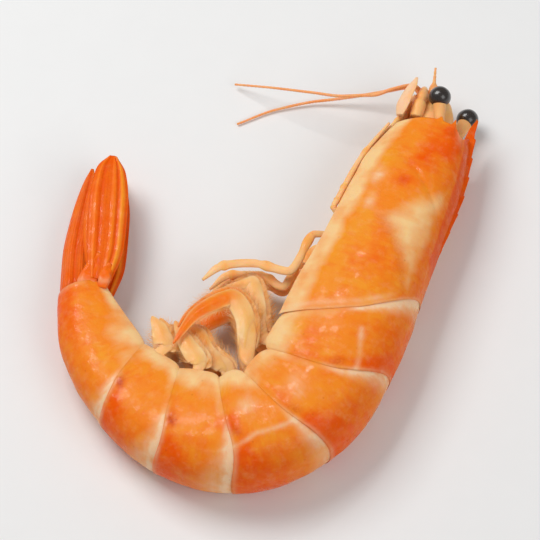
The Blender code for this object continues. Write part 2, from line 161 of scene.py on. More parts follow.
# The front edge of the head shell: notches and small spines, in degrees from the back.
EYE_NOTCH = (42, 16, 0.0016)
BELLY_NOTCH = 0.0032
HEAD_SPINES = ((66, 3.5, 0.0016), (92, 3.0, 0.0009))
NECK_GROOVE_STATION = -0.030
NECK_GROOVE_DEPTH = 0.00022
NECK_GROOVE_LENGTH = 0.006
NECK_GROOVE_TURN = -0.027
NECK_GROOVE_TURN_LENGTH = 0.008
HEAD_RIM_RISE = 0.00003
HEAD_RIM_WIDTH = 0.0012
HEAD_RIM_SOFTNESS = 0.0006
HEAD_LIP_RISE = 0.00008
HEAD_LIP_WIDTH = 0.0007
HEAD_LIP_SOFTNESS = 0.0004
HEAD_FRONT_SINK = 0.0002
HEAD_FRONT_SINK_LENGTH = 0.002

# The pale wedge on the side of the head, and the shade along its lower edge: stations in
# millimetres and degrees from the back.
WEDGE_CORNERS = ((-20.0, 101), (-29.5, 43), (-9.5, 47))
WEDGE_SHADE_CORNERS = ((-19.5, 106), (-22.5, 80), (-7.5, 52))
SKIN_MM_PER_DEGREE = 0.16

# Soft spots painted on the shell, of several colours: station in millimetres, degrees from the back,
# reach along in millimetres and round in degrees, and strength.
SPOTS = {
    "deep": (
        (-28.2, 98, 1.5, 8, 1.0), (-42.3, 66, 1.9, 14, 1.2), (-39.5, 64, 3.2, 17, 1.0),
        (-36.0, 88, 3.4, 9, 0.65), (-33.0, 98, 2.4, 6, 0.45), (-39.0, 56, 3.0, 12, 0.55),
        (-7.5, 76, 5.0, 20, 0.30), (8.7, 110, 2.2, 9, 0.40), (14.2, 114, 1.6, 9, 0.50),
        (22.3, 66, 2.0, 9, 0.80), (20.7, 40, 3.0, 14, 0.45), (10.5, 33, 2.5, 14, 0.35),
        (36.0, 92, 1.8, 8, 0.75), (34.0, 50, 2.5, 12, 0.50), (46.0, 55, 2.2, 12, 0.40),
        (57.0, 60, 2.4, 12, 0.35), (76.0, 60, 5.0, 22, 0.35), (-34.5, 74, 5.0, 20, 0.45),
        (-40.0, 90, 2.6, 12, 0.35), (-14.0, 92, 4.0, 14, 0.32), (2.5, 66, 2.0, 12, 0.25),
        (-9.0, 100, 3.0, 12, 0.30),
    ),
    "amber": (
        (-32.0, 123, 4.5, 12, 1.0), (-10.0, 126, 8.0, 14, 0.65), (6.5, 127, 2.6, 9, 0.8),
        (-5.0, 78, 4.5, 26, 0.6), (-17.0, 112, 4.0, 10, 0.5), (20.7, 140, 3.0, 10, 0.9),
        (66.0, 92, 6.0, 12, 0.5), (38.0, 132, 3.0, 10, 0.6),
    ),
    "pale": (
        (42.3, 119, 2.0, 9, 0.50), (47.3, 128, 2.5, 9, 0.55), (67.7, 118, 5.0, 15, 0.75),
        (48.0, 50, 2.0, 5, 0.35), (31.0, 126, 3.0, 9, 0.45),
    ),
    "pearl": (
        (-27.9, 122, 1.7, 6, 0.75), (-22.1, 118, 1.5, 5, 0.55), (-43.4, 46, 1.7, 9, 0.65),
        (19.6, 103, 1.8, 6, 0.40), (31.7, 107, 2.2, 7, 0.45), (20.5, 94, 1.5, 4, 0.40),
    ),
    "mark": ((-42.0, 66, 0.9, 6, 0.35), (-40.5, 40, 2.6, 3, 0.30), (-28.2, 98, 0.9, 4, 0.25)),
}

# Painted highlight lines along the side, each a path of stations in millimetres and degrees from the back.
SIDE_HIGHLIGHTS = (
    ((2.8, 79), (4.4, 77), (10.5, 66), (12.5, 64)),
    ((23.6, 76), (24.6, 77), (31.2, 80), (36.4, 63), (38.0, 60)),
)
SIDE_HIGHLIGHT_SPREAD = 3.0
SIDE_HIGHLIGHT_FADE_MM = 1.2

# The toothed crest on the head shell.
ROSTRUM_BACK = -0.017
ROSTRUM_TIP = (-0.0492, 0.0056)
ROSTRUM_RISE = 0.0010
ROSTRUM_TOOTH_SHARE = 0.30  # of the rise
ROSTRUM_TEETH = 8
ROSTRUM_POINT = 0.86
ROSTRUM_FOOT = 0.0012
ROSTRUM_FOOT_HALF_WIDTH = 0.0009
ROSTRUM_EDGE_HALF_WIDTH = 0.00016
ROSTRUM_ROWS = 240
ROSTRUM_LEVELS = 9

# The meat lies this far under the skin, with a bar across the belly behind each joint.
MEAT_SINK = 0.00105
MEAT_BAR_RISE = 0.0005
MEAT_BAR_PLACE = 0.004
MEAT_BAR_WIDTH = 0.0012
MEAT_END_SINK = 0.0012
MEAT_ROWS = 300
MEAT_SIDES = 96
MEAT_FRONT = HEAD_FRONT + 0.0035
MEAT_REAR = JOINTS[-1] - 0.0002
MEAT_FRONT_ROUNDING = 0.006
MEAT_REAR_ROUNDING = 0.003

# The middles of the eyes, as places along, outwards and to the left.
EYE_RADIUS = 0.0021
EYES = {"left": (-0.0487, -0.0022, 0.0050), "right": (-0.0514, 0.0027, -0.0050)}
EYE_UNEVENNESS = 0.04
EYESTALK_RADII = (0.0010, 0.0011, 0.0015)
EYESTALK_ROOT_ASIDE = 0.0034
EYESTALK_LENGTH = 0.92  # as a share of the way to the eye's middle

# Small pieces of the head, in the straight frame of its front. Each row is a place, told by how far it
# lies along, outwards and aside, and the half width and the half thickness there.
HEAD_FRONT_FORM = (
    (-0.0420, -0.0026, 0, 0.0042, 0.0032),
    (-0.0446, -0.0026, 0, 0.0042, 0.0031),
    (-0.0465, -0.0028, 0, 0.0041, 0.0029),
    (-0.0488, -0.0034, 0, 0.0034, 0.0024),
    (-0.0502, -0.0040, 0, 0.0024, 0.0018),
)
SCALE_FORM = (
    (-0.0430, -0.0081, 0.0036, 0.00035, 0.0010),
    (-0.0455, -0.0083, 0.0040, 0.00042, 0.0020),
    (-0.0490, -0.0082, 0.0038, 0.00040, 0.0017),
    (-0.0518, -0.0080, 0.0033, 0.00025, 0.0004),
)
SHORT_FEELER_FORM = (
    (-0.0490, -0.0038, 0.0011, 0.00105, 0.00095),
    (-0.0507, -0.0042, 0.0012, 0.00100, 0.00090),
    (-0.0521, -0.0046, 0.0014, 0.00080, 0.00075),
    (-0.0531, -0.0049, 0.0017, 0.00035, 0.00035),
    (-0.0556, -0.0056, 0.0026, 0.00020, 0.00020),
)
FEELER_BASE_FORM = (
    (-0.0440, -0.0052, 0.0030, 0.0012, 0.0012),
    (-0.0468, -0.0055, 0.0034, 0.0013, 0.0012),
    (-0.0492, -0.0057, 0.0029, 0.0011, 0.0010),
    (-0.0508, -0.0060, 0.0020, 0.0006, 0.0006),
)
SCALE_TILT = 40

# The long feelers, as places along, outwards and to the left.
LONG_FEELERS = {
    "left": (
        (-0.0500, -0.0058, 0.0018), (-0.0512, -0.0088, 0.0010), (-0.0490, -0.0118, 0.0012),
        (-0.0462, -0.0150, 0.0014), (-0.0444, -0.0200, 0.0008), (-0.0437, -0.0260, -0.0006),
        (-0.0434, -0.0330, -0.0030), (-0.0436, -0.0420, -0.0076),
    ),
    "right": (
        (-0.0500, -0.0058, -0.0018), (-0.0520, -0.0084, -0.0012), (-0.0516, -0.0122, -0.0034),
        (-0.0494, -0.0180, -0.0058), (-0.0462, -0.0255, -0.0076), (-0.0418, -0.0325, -0.0082),
        (-0.0360, -0.0385, -0.0083),
    ),
}
FEELER_ROOT_RADIUS = 0.00042
FEELER_TIP_RADIUS = 0.00020

# The folded legs: stations of root and tip, and the lane, as a share of the body's half width.
FOLDED_LEGS = {
    "mouth_leg": (-0.0390, -0.0490, 0.10),
    "leg_1": (-0.0340, -0.0475, 0.27),
    "leg_2": (-0.0270, -0.0378, 0.10),
    "leg_3": (-0.0200, -0.0410, 0.44),
}

# Along a folded leg: the share of its length, how far it has dropped from the body, and its size.
FOLDED_LEG_COURSE = ((0, 0, 0.8), (0.09, 0.6, 1.0), (0.22, 1.0, 1.0), (0.6, 1.0, 0.8), (1, 0.9, 0))
NARROWEST_LANES = 0.0066
LEG_TUCK = 0.94
LEG_ROOT_RADIUS = 0.00060
LEG_TIP_RADIUS = 0.00026
LEG_JOINTS = (0.2, 0.38, 0.6, 0.82)
LEG_JOINT_SWELLING = 0.24
LEG_JOINT_LENGTH = 0.022
LEG_WAIST = 0.12
LEG_WAIST_LENGTH = 0.012
LEG_WAIST_PLACE = 0.035

# The limbs that hang: the root's station, the lanes of root and tip, and places along and outwards.
TRAILING_LEGS = {
    "leg_4": (
        -0.0160, 0.0024, 0.0047,
        ((0.0110, -0.0156), (0.0121, -0.0221), (0.0150, -0.0271), (0.0190, -0.0294)),
    ),
    "leg_5": (
        -0.0090, 0.0011, 0.0011,
        ((0.0062, -0.0158), (0.0055, -0.0207), (0.0074, -0.0257), (0.0116, -0.0282)),
    ),
}
SWIMMERETS = {
    "swimmeret_1": (
        0.0095, 0.0023, 0.0023,
        ((-0.0060, -0.0186), (-0.0102, -0.0218), (-0.0069, -0.0262)),
    ),
    "swimmeret_2": (
        0.0220, 0.0035, 0.0035,
        ((-0.0048, -0.0200), (-0.0062, -0.0268), (0.0010, -0.0284), (0.0084, -0.0264)),
    ),
    "swimmeret_3": (0.0360, 0.0011, 0.0011, ((0.0044, -0.0188), (0.0062, -0.0228), (0.0125, -0.0243))),
    "swimmeret_4": (0.0500, 0.0023, 0.0023, ((0.0050, -0.0158), (0.0092, -0.0180))),
    "swimmeret_5": (0.0615, 0.0023, 0.0023, ((0.0036, -0.0124), (0.0068, -0.0126))),
}
GAP = 0.0004
ROOT_DEPTH = 0.0024  # how far a limb's root reaches up into the body
LIMBS_HEIGHT = 0.0078
TRAILING_LEG_HALF_WIDTH = 0.00085
TRAILING_LEG_HALF_THICKNESS = 0.00045
SWIMMERET_HALF_WIDTH = 0.0017
SWIMMERET_HALF_THICKNESS = 0.00043

# A swimmeret's two leaf shaped blades: lane, breadth and height as shares of its half width and half
# thickness, and where each ends. The stalk ends sooner on a long swimmeret.
LEAVES = ((-0.26, 1.12, 0.5, 1.0), (0.42, 0.94, -0.45, 0.93))
LEAF_START = 0.36
LEAF_THICKNESS = 0.55
LEAF_RIB = 0.16
LEAF_HOLLOW = 0.5
LEAF_WAVE = 0.35
LEAF_WAVES = 21
LEAF_SIDES = 24
SWIMMERET_ROWS = 150
STALK_END = 0.72
LONG_STALK_END = 0.62

# How deep an orange the middle of each swimmeret's blades is.
SWIMMERET_DEEPNESS = {
    "swimmeret_1": 0.10, "swimmeret_2": 0.62, "swimmeret_3": 0.25, "swimmeret_4": 0.15, "swimmeret_5": 0.15,
}
BRISTLE_RADIUS = 0.000045
BRISTLE_TIP_RADIUS = 0.000006
BRISTLE_BEND = 0.25
BRISTLE_SWAY = 0.28
SHORTEST_BRISTLE = 0.55
LONGEST_BRISTLE = 1.1

# The fan's pieces, in the straight frame of the last joint, in rows like those of the head's.
TELSON_FORM = (
    (-0.0010, 0.0018, 0, 0.0026, 0.0029),
    (0.0007, 0.0018, 0, 0.0027, 0.0030),
    (0.0070, 0.0020, 0, 0.0026, 0.0022),
    (0.0160, 0.0014, 0, 0.0021, 0.0016),
    (0.0225, 0.0007, 0, 0.0013, 0.0010),
    (0.0260, 0.0004, 0, 0.0003, 0.0003),
)
INNER_BLADE_FORM = (
    (0.0009, -0.0026, 0.0016, 0.0014, 0.0007),
    (0.0080, -0.0018, 0.0026, 0.0024, 0.0006),
    (0.0165, -0.0020, 0.0026, 0.0030, 0.0005),
    (0.0235, -0.0026, 0.0022, 0.0022, 0.0004),
    (0.0262, -0.0030, 0.0020, 0.0006, 0.0003),
)
OUTER_BLADE_FORM = (
    (0.0007, -0.0030, 0.0038, 0.0022, 0.0006),
    (0.0080, -0.0036, 0.0042, 0.0035, 0.0006),
    (0.0170, -0.0035, 0.0041, 0.0037, 0.0006),
    (0.0240, -0.0034, 0.0036, 0.0028, 0.0005),
    (0.0272, -0.0036, 0.0033, 0.0008, 0.0003),
)
KNUCKLE_FORMS = (
    (
        (-0.0016, -0.0004, 0.0030, 0.0012, 0.0006),
        (0.0002, -0.0008, 0.0036, 0.0019, 0.0008),
        (0.0026, -0.0018, 0.0041, 0.0018, 0.0005),
        (0.0056, -0.0030, 0.0044, 0.0010, 0.0003),
    ),
    (
        (-0.0008, -0.0036, 0.0038, 0.0009, 0.0003),
        (0.0012, -0.0040, 0.0042, 0.0012, 0.0005),
        (0.0040, -0.0046, 0.0043, 0.0007, 0.0003),
    ),
)
FAN_TILT = 8
KNUCKLE_UNEVENNESS = 0.00022
KNUCKLE_LUMP_SIZE = 0.0011

# Ridges and grooves along the fan's pieces: place across, width and rise, as shares of the half width
# and half thickness. Finer ridges run over all of them.
TELSON_HUMPS = ((-0.55, 0.22, 0.10), (0.0, 0.16, -0.16), (0.5, 0.2, 0.12))
INNER_HUMPS = ((-0.8, 0.14, 0.25), (-0.45, 0.12, -0.3), (0.0, 0.16, 0.35), (0.5, 0.16, -0.2))
OUTER_HUMPS = (
    (-0.68, 0.12, 0.32), (-0.42, 0.10, -0.28), (0.26, 0.12, 0.36), (0.47, 0.08, -0.30),
    (0.70, 0.12, 0.42), (0.92, 0.06, -0.20),
)
FINE_RIDGES = 38
FINE_RIDGE_RISE = 0.05
AMBER_RIDGE = 0.70

# The camera, as the photograph was taken. The lens brings the frame closer.
CAMERA_ELEVATION = math.radians(62)
CAMERA_DISTANCE = 0.750
CAMERA_ASIDE = 0.01526
CAMERA_ABOVE = 0.04178
AIM_STATION = 0.036
AIM_HEIGHT = 0.0084
LENS = 275.0

# Each light's name, place, size and power, and how bright the world and the floor are.
LIGHTS = (
    ("key", (-0.26, 0.20, 0.50), 0.30, 2.05),
    ("glint", (-0.10, 0.30, 0.52), 0.05, 0.18),
    ("fill", (0.35, -0.30, 0.45), 0.40, 1.1),
)
WORLD_STRENGTH = 0.33
FLOOR_COLOURS = ((0.83, 0.83, 0.825), (0.85, 0.85, 0.845))
FLOOR_HALF_WIDTH = 1.5

SIDES = (("left", 1), ("right", -1))


# Sizes and colours that a user would change.


def length_setting(name, description, default, low, high):
    return FloatProperty(
        name=name, description=description, default=default, min=low, max=high, precision=5, unit="LENGTH",
    )


def colour_setting(name, places, default):
    return FloatVectorProperty(
        name=name, description=f"Colour of {places}", default=default, size=3, min=0, max=1,
        subtype="COLOR",
    )


class PrawnSizes(bpy.types.PropertyGroup):
    shell_thickness: length_setting("Shell thickness", "Thickness of the plates", 0.0003, 0.0001, 0.001)
    overlap: length_setting("Overlap", "How far plates reach under one another", 0.0022, 0.0005, 0.004)
    bristle_length: length_setting("Bristle length", "Length of the bristles", 0.0022, 0.0002, 0.004)
    bristle_spacing: length_setting("Bristle spacing", "Distance between bristles", 0.00016, 0.00005, 0.001)
    seed: IntProperty(name="Seed", description="Seed of the bristles' unevenness", default=7, min=0)


class PrawnColours(bpy.types.PropertyGroup):
    orange: colour_setting("Orange", "most of the shell", (0.96, 0.25, 0.016))
    # Deep orange is also painted shade: over the rings' backs, in the tail fan's grooves and on the crest's
    # side.
    deep_orange_and_shade: colour_setting("Deep orange", "the back, the crest and the tail fan", (0.92, 0.105, 0.001))
    amber: colour_setting("Amber", "the yellower parts of the shell", (0.94, 0.34, 0.022))
    cream: colour_setting("Cream", "the belly's edge, the limbs and the head's wedge", (0.98, 0.60, 0.27))
    # Pearl is also painted highlight: along the facets' front edges, the plates' rear rims, the side and the
    # fan's knuckles.
    pearl: colour_setting("Pearl", "the facets at the rings' fronts and the pale lines", (0.99, 0.60, 0.35))
    # Mark is also painted shade, in the tail fan's grooves and on the crest's side.
    mark: colour_setting("Mark", "the dark marks and the grooves", (0.60, 0.068, 0.001))
    meat: colour_setting("Meat", "the meat between the side lobes", (0.90, 0.62, 0.38))
    eye: colour_setting("Eye", "the eyes", (0.010, 0.007, 0.007))


# The prawn's form.


def smooth(x, xs, ys):
    """The values at x of a smooth curve through the points, which never overshoots them."""
    x, xs, ys = np.asarray(x, float), np.asarray(xs, float), np.asarray(ys, float)
    slopes = np.diff(ys) / np.diff(xs)
    before, after = slopes[:-1], slopes[1:]
    steady = before * after > 0
    inner = np.where(steady, 2 * before * after / np.where(steady, before + after, 1), 0)
    tangents = np.concatenate([slopes[:1], inner, slopes[-1:]])
    x = np.clip(x, xs[0], xs[-1])
    i = np.clip(np.searchsorted(xs, x, side="right") - 1, 0, len(slopes) - 1)
    step = xs[i + 1] - xs[i]
    t = (x - xs[i]) / step
    ends = ys[i] * (1 + 2 * t) * (1 - t) ** 2 + ys[i + 1] * t * t * (3 - 2 * t)
    bends = tangents[i] * t * (1 - t) ** 2 + tangents[i + 1] * t * t * (t - 1)
    return ends + bends * step


def ease(x):
    """0 below 0, 1 above 1 and smooth between."""
    x = np.clip(x, 0, 1)
    return x * x * (3 - 2 * x)


def bump(x, centre, width):
    """A smooth hump of height 1 round the centre."""
    return np.exp(-((x - centre) / width) ** 2)


def trace_spine():
    """Stations at even steps with the spine's x, y and heading; the first joint is near 0, 0."""
    ends = (HEAD_FRONT,) + JOINTS + (FAN_END,)
    middles = [(a + b) / 2 for a, b in zip(ends, ends[1:])]
    stations = SPINE_START + SPINE_STEP * np.arange(round((FAN_END - SPINE_START) / SPINE_STEP))
    heading = np.radians(smooth(stations, middles, HEADINGS))
    x = np.concatenate([[0], np.cumsum(np.cos(heading[:-1]) * SPINE_STEP)])
    y = np.concatenate([[0], np.cumsum(np.sin(heading[:-1]) * SPINE_STEP)])
    return stations, x, y, heading


STATIONS, SPINE_X, SPINE_Y, SPINE_HEADING = trace_spine()


def spine_at(station):
    """The spine's x, y and heading at stations."""
    return [np.interp(station, STATIONS, row) for row in (SPINE_X, SPINE_Y, SPINE_HEADING)]


def shape_at(station):
    """Height of the back, height of the belly, half width and height over the floor at stations."""
    stations = [row[0] for row in BODY_SHAPE]
    return [smooth(station, stations, [row[k] for row in BODY_SHAPE]) for k in range(1, 5)]


def in_straight_frame(x, y, heading, height, along, out, side):
    """Points in a frame at x, y: so far along its heading, outwards and to the left."""
    points = np.broadcast_arrays(
        x + np.cos(heading) * along - np.sin(heading) * out,
        y + np.sin(heading) * along + np.cos(heading) * out,
        height + side,
    )
    return np.stack(points, axis=-1) + SHIFT


def locate(frame_station, along, out, side):
    """Points in the straight frame of a station: so far towards the tail, outwards and to the left."""
    x, y, heading = spine_at(frame_station)
    return in_straight_frame(x, y, heading, shape_at(frame_station)[3], along, out, side)


# From the spine's own x and y to the frame's, worked out from where the left eye lies.
SHIFT = np.zeros(3)
SHIFT = np.mean(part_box("eye_left"), axis=0) - locate(
    HEAD_FRONT, EYES["left"][0] - HEAD_FRONT, EYES["left"][1], EYES["left"][2]
)
SHIFT[2] = 0


def head_point(along, out, side):
    """Points in the straight frame of the head's front."""
    return locate(HEAD_FRONT, along - HEAD_FRONT, out, side)


def fan_point(along, out, side):
    """Points in the straight frame of the fan, which starts at the last joint."""
    x, y, _ = spine_at(JOINTS[-1])
    return in_straight_frame(x, y, math.radians(FAN_HEADING), shape_at(JOINTS[-1])[3], along, out, side)


def skin_place(station, angle, lobe=1.0):
    """Distances outwards and to the left of the shell's skin. The lobe shortens the belly's half."""
    back, belly, width, _ = shape_at(station)
    c, s = np.cos(angle), np.sin(angle)
    from_middle = np.minimum(np.abs(np.abs(angle) - math.pi) / GROOVE_HALF_ANGLE, 1)
    dent = 0.5 + 0.5 * np.cos(math.pi * from_middle)
    out = np.where(c > 0, back * np.abs(c) ** BACK_ROUNDNESS, belly * c * (1 - GROOVE_DEPTH * dent) * lobe)
    side = width * np.abs(s) ** np.where(c > 0, BACK_ROUNDNESS, SIDE_FULLNESS)
    return out, np.copysign(side, s)


def skin(station, angle, lift=0.0, lobe=1.0):
    """Points on the shell's skin, lifted off it, and cut off level at the floor."""
    out, side = skin_place(station, angle, lobe)
    reach = np.hypot(out, side)
    grown = 1 + lift / np.maximum(reach, 1e-5)
    points = locate(station, 0, out * grown, side * grown)
    points[..., 2] = np.maximum(points[..., 2], 0)
    return points


def belly_at(station, side):
    """How far out the skin of the belly lies at a distance to the side of the middle."""
    turns = np.pi - np.linspace(0, np.pi / 2, 61)
    out, across = skin_place(station, turns)
    return float(np.interp(side, across, out))


def joint_station(joint, angle):
    """Where a joint crosses at an angle round the body."""
    towards_back = np.cos(angle)
    at_back, at_belly = JOINT_LEANS[joint]
    lean = (at_back - at_belly) / 2 * towards_back + (at_back + at_belly) / 2 * towards_back ** 2
    return JOINTS[joint] + lean


def wobble(points, size, seed):
    """Soft unevenness, from -1 to 1, over the points."""
    flat = points.reshape(-1, 3) / size + seed * 7.31
    values = [noise.noise(Vector(row)) for row in flat]
    return np.array(values).reshape(points.shape[:-1])


# Making meshes. A grid is a triple of points, faces and the fields kept as attributes of the points.


def add_object(name, data):
    made = bpy.data.objects.new(name, data)
    bpy.context.scene.collection.objects.link(made)
    return made


def new_piece(name, grid, material):
    """An object from a grid."""
    points, faces, fields = grid
    mesh = bpy.data.meshes.new(name)
    mesh.from_pydata([tuple(p) for p in points], [], [tuple(f) for f in faces])
    for label, values in fields.items():
        attribute = mesh.attributes.new(label, "FLOAT", "POINT")
        attribute.data.foreach_set("value", np.asarray(values, float).ravel())
    mesh.materials.append(material)
    mesh.update()
    piece = add_object(name, mesh)
    face_outwards(piece)
    mesh.shade_smooth()
    return piece


def face_outwards(piece):
    """Turns the faces of a closed mesh outwards."""
    builder = bmesh.new()
    builder.from_mesh(piece.data)
    bmesh.ops.recalc_face_normals(builder, faces=builder.faces)
    builder.to_mesh(piece.data)
    builder.free()


def join_grids(parts):
    """Several grids put together."""
    points, faces, fields = [], [], {}
    count = 0
    for part_points, part_faces, part_fields in parts:
        points.append(part_points)
        faces += [tuple(i + count for i in face) for face in part_faces]
        for label, values in part_fields.items():
            fields.setdefault(label, []).append(np.ravel(values))
        count += len(part_points)
    return np.concatenate(points), faces, {label: np.concatenate(rows) for label, rows in fields.items()}


def shell_grid(outer, inner, fields):
    """A closed thin shell between two arrays of points of the same size."""
    rows, columns = outer.shape[:2]
    index = np.arange(rows * columns).reshape(rows, columns)
    below = rows * columns
    faces = []
    corners = (index[:-1, :-1], index[1:, :-1], index[1:, 1:], index[:-1, 1:])
    for a, b, c, d in zip(*(corner.flat for corner in corners)):
        faces.append((a, b, c, d))
        faces.append((d + below, c + below, b + below, a + below))
    border = list(index[0, :]) + list(index[1:, -1]) + list(index[-1, -2::-1]) + list(index[-2:0:-1, 0])
    for here, after in zip(border, border[1:] + border[:1]):
        faces.append((here, after, after + below, here + below))
    points = np.concatenate([outer.reshape(-1, 3), inner.reshape(-1, 3)])
    return points, faces, {label: np.tile(np.ravel(values), 2) for label, values in fields.items()}


def tube_grid(rows, fields):
    """A closed skin over rows of points, each a closed loop, with a point at each end."""
    count, sides = rows.shape[:2]
    index = np.arange(count * sides).reshape(count, sides)
    faces = []
    for near, far in zip(index, index[1:]):
        for k in range(sides):
            after = (k + 1) % sides
            faces.append((near[k], near[after], far[after], far[k]))
    for number, loop in enumerate((index[0], index[-1])):
        for k in range(sides):
            faces.append((loop[k], loop[(k + 1) % sides], count * sides + number))
    points = np.concatenate([rows.reshape(-1, 3), rows[[0, -1]].mean(axis=1)])
    full = {}
    for label, values in fields.items():
        values = np.broadcast_to(values, (count, sides))
        full[label] = np.concatenate([values.ravel(), [values[0].mean(), values[-1].mean()]])
    return points, faces, full


def path_frames(centres, tilt=0.0):
    """Unit vectors along, across and through a path of points, level unless tilted about it."""
    along = np.gradient(centres, axis=0)
    along /= np.linalg.norm(along, axis=1, keepdims=True)
    across = np.cross(along, (0, 0, 1))
    across /= np.linalg.norm(across, axis=1, keepdims=True)
    through = np.cross(across, along)
    c, s = math.cos(math.radians(tilt)), math.sin(math.radians(tilt))
    return along, across * c - through * s, through * c + across * s


def limb_form(points, count):
    """Smooth centres, half widths and half thicknesses at even steps through the given ones."""
    marks = np.arange(len(points))
    x = np.linspace(0, marks[-1], count)
    centres = np.stack([smooth(x, marks, [p[0][axis] for p in points]) for axis in range(3)], axis=1)
    return centres, smooth(x, marks, [p[1] for p in points]), smooth(x, marks, [p[2] for p in points])


def round_angles(count):
    return np.linspace(0, 2 * math.pi, count, endpoint=False)


def sweep(points, count, sides, tilt=0.0, section=None, swell=None):
    """A limb's rows of points, with the share along it and the angle round it. The section gives each
    angle's share of the half width and half thickness, and the swell each row's share of both."""
    centres, wide, thick = limb_form(points, count)
    _, across, through = path_frames(centres, tilt)
    angle = round_angles(sides)
    u, v = (np.cos(angle), np.sin(angle)) if section is None else section(angle)
    share = np.linspace(0, 1, count)
    grown = np.ones(count) if swell is None else swell(share)
    rows = centres[:, None, :]
    rows = rows + across[:, None, :] * (u[None, :, None] * (wide * grown)[:, None, None])
    rows = rows + through[:, None, :] * (v[None, :, None] * (thick * grown)[:, None, None])
    rows[..., 2] = np.maximum(rows[..., 2], 0)
    return rows, share[:, None], angle[None, :]


def dress(piece, nodes):
    """Hands a finished piece to the frame."""
    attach(piece, "root")
    if nodes:
        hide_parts(*nodes)


# Making node trees and materials.


class Value:
    """A socket with arithmetic: an expression on values adds its Math nodes."""

    def __init__(self, tree, socket):
        self.tree = tree
        self.socket = socket

    def math(self, operation, first, second):
        node = self.tree.node("ShaderNodeMath", {"operation": operation}, {0: first, 1: second})
        return Value(self.tree, node.outputs[0])

    def __add__(self, other):
        return self.math("ADD", self, other)

    def __radd__(self, other):
        return self.math("ADD", other, self)

    def __sub__(self, other):
        return self.math("SUBTRACT", self, other)

    def __rsub__(self, other):
        return self.math("SUBTRACT", other, self)

    def __mul__(self, other):
        return self.math("MULTIPLY", self, other)

    def __rmul__(self, other):
        return self.math("MULTIPLY", other, self)

    def __truediv__(self, other):
        return self.math("DIVIDE", self, other)

    def __pow__(self, other):
        return self.math("POWER", self, other)

    def clamped(self):
        return self.math("MINIMUM", self.math("MAXIMUM", self, 0.0), 1.0)


class Tree:
    """A node tree under construction."""

    def __init__(self, nodes_and_links):
        self.tree = nodes_and_links

    def node(self, kind, settings=None, sockets=None):
        """A node with its settings, then the values or links of its sockets."""
        made = self.tree.nodes.new(kind)
        for key, value in (settings or {}).items():
            setattr(made, key, value)
        for key, value in (sockets or {}).items():
            self.feed(made.inputs[key], value)
        return made

    def feed(self, socket, value):
        """Links a value or a socket to a socket, or sets its number."""
        if isinstance(value, Value):
            value = value.socket
        if isinstance(value, bpy.types.NodeSocket):
            self.tree.links.new(value, socket)
        else:
            socket.default_value = value


class Finish(Tree):
    """A material under construction."""

    def __init__(self, name):
        self.material = bpy.data.materials.new(name)
        self.material.use_nodes = True
        super().__init__(self.material.node_tree)
        self.shader = self.tree.nodes["Principled BSDF"]

    def attribute(self, name):
        node = self.node("ShaderNodeAttribute", {"attribute_name": name})
        return Value(self, node.outputs["Fac"])

    def places(self):
        """Object coordinates in millimetres."""
        source = self.node("ShaderNodeTexCoord").outputs["Object"]
        return self.node("ShaderNodeMapping", None, {
            "Vector": source, "Scale": (1000, 1000, 1000),
        }).outputs["Vector"]

    def noise(self, size, detail=2.0, where=None, roughness=0.5):
        """Noise from 0 to 1 with lumps of about a size in millimetres."""
        sockets = {
            "Vector": where or self.places(), "Scale": 1 / size, "Detail": detail, "Roughness": roughness,
        }
        return Value(self, self.node("ShaderNodeTexNoise", None, sockets).outputs["Fac"])

    def cells(self, scale):
        """Cells, so many to a millimetre, as the outputs for distance and colour."""
        return self.node("ShaderNodeTexVoronoi", None, {"Vector": self.places(), "Scale": scale}).outputs

    def ramp(self, value, stops):
        """A value turned into levels between stops, each a place and its level."""
        node = self.node("ShaderNodeValToRGB", None, {"Fac": value})
        for element, (place, level) in zip(node.color_ramp.elements, stops):
            element.position = place
            element.color = (level, level, level, 1)
        return Value(self, node.outputs["Color"])

    def mix(self, share, first, second):
        """A colour between two, each a socket or three numbers."""
        colours = [(*c, 1) if isinstance(c, (tuple, list)) else c for c in (first, second)]
        sockets = {0: share, 6: colours[0], 7: colours[1]}
        return self.node("ShaderNodeMix", {"data_type": "RGBA"}, sockets).outputs[2]

    def paint(self, colour, roughness):
        """Feeds the colour and the roughness."""
        self.feed(self.shader.inputs["Base Color"], colour)
        self.feed(self.shader.inputs["Roughness"], roughness)

    def bump(self, height, distance, strength=1.0):
        """Feeds a height from 0 to 1, of a depth in millimetres, to the normal."""
        sockets = {"Height": height, "Distance": distance * 0.001, "Strength": strength}
        node = self.node("ShaderNodeBump", None, sockets)
        self.feed(self.shader.inputs["Normal"], node.outputs["Normal"])

    def body(self, subsurface, radius, scale, coat=0.0, coat_roughness=0.1, specular=0.5):
        """The shader's constant sockets."""
        inputs = self.shader.inputs
        inputs["Subsurface Weight"].default_value = subsurface
        inputs["Subsurface Radius"].default_value = radius
        inputs["Subsurface Scale"].default_value = scale
        inputs["Coat Weight"].default_value = coat
        inputs["Coat Roughness"].default_value = coat_roughness
        inputs["Specular IOR Level"].default_value = specular


def colours():
    group = bpy.context.scene.prawn_colours
    return {name: tuple(getattr(group, name)) for name in group.__annotations__}


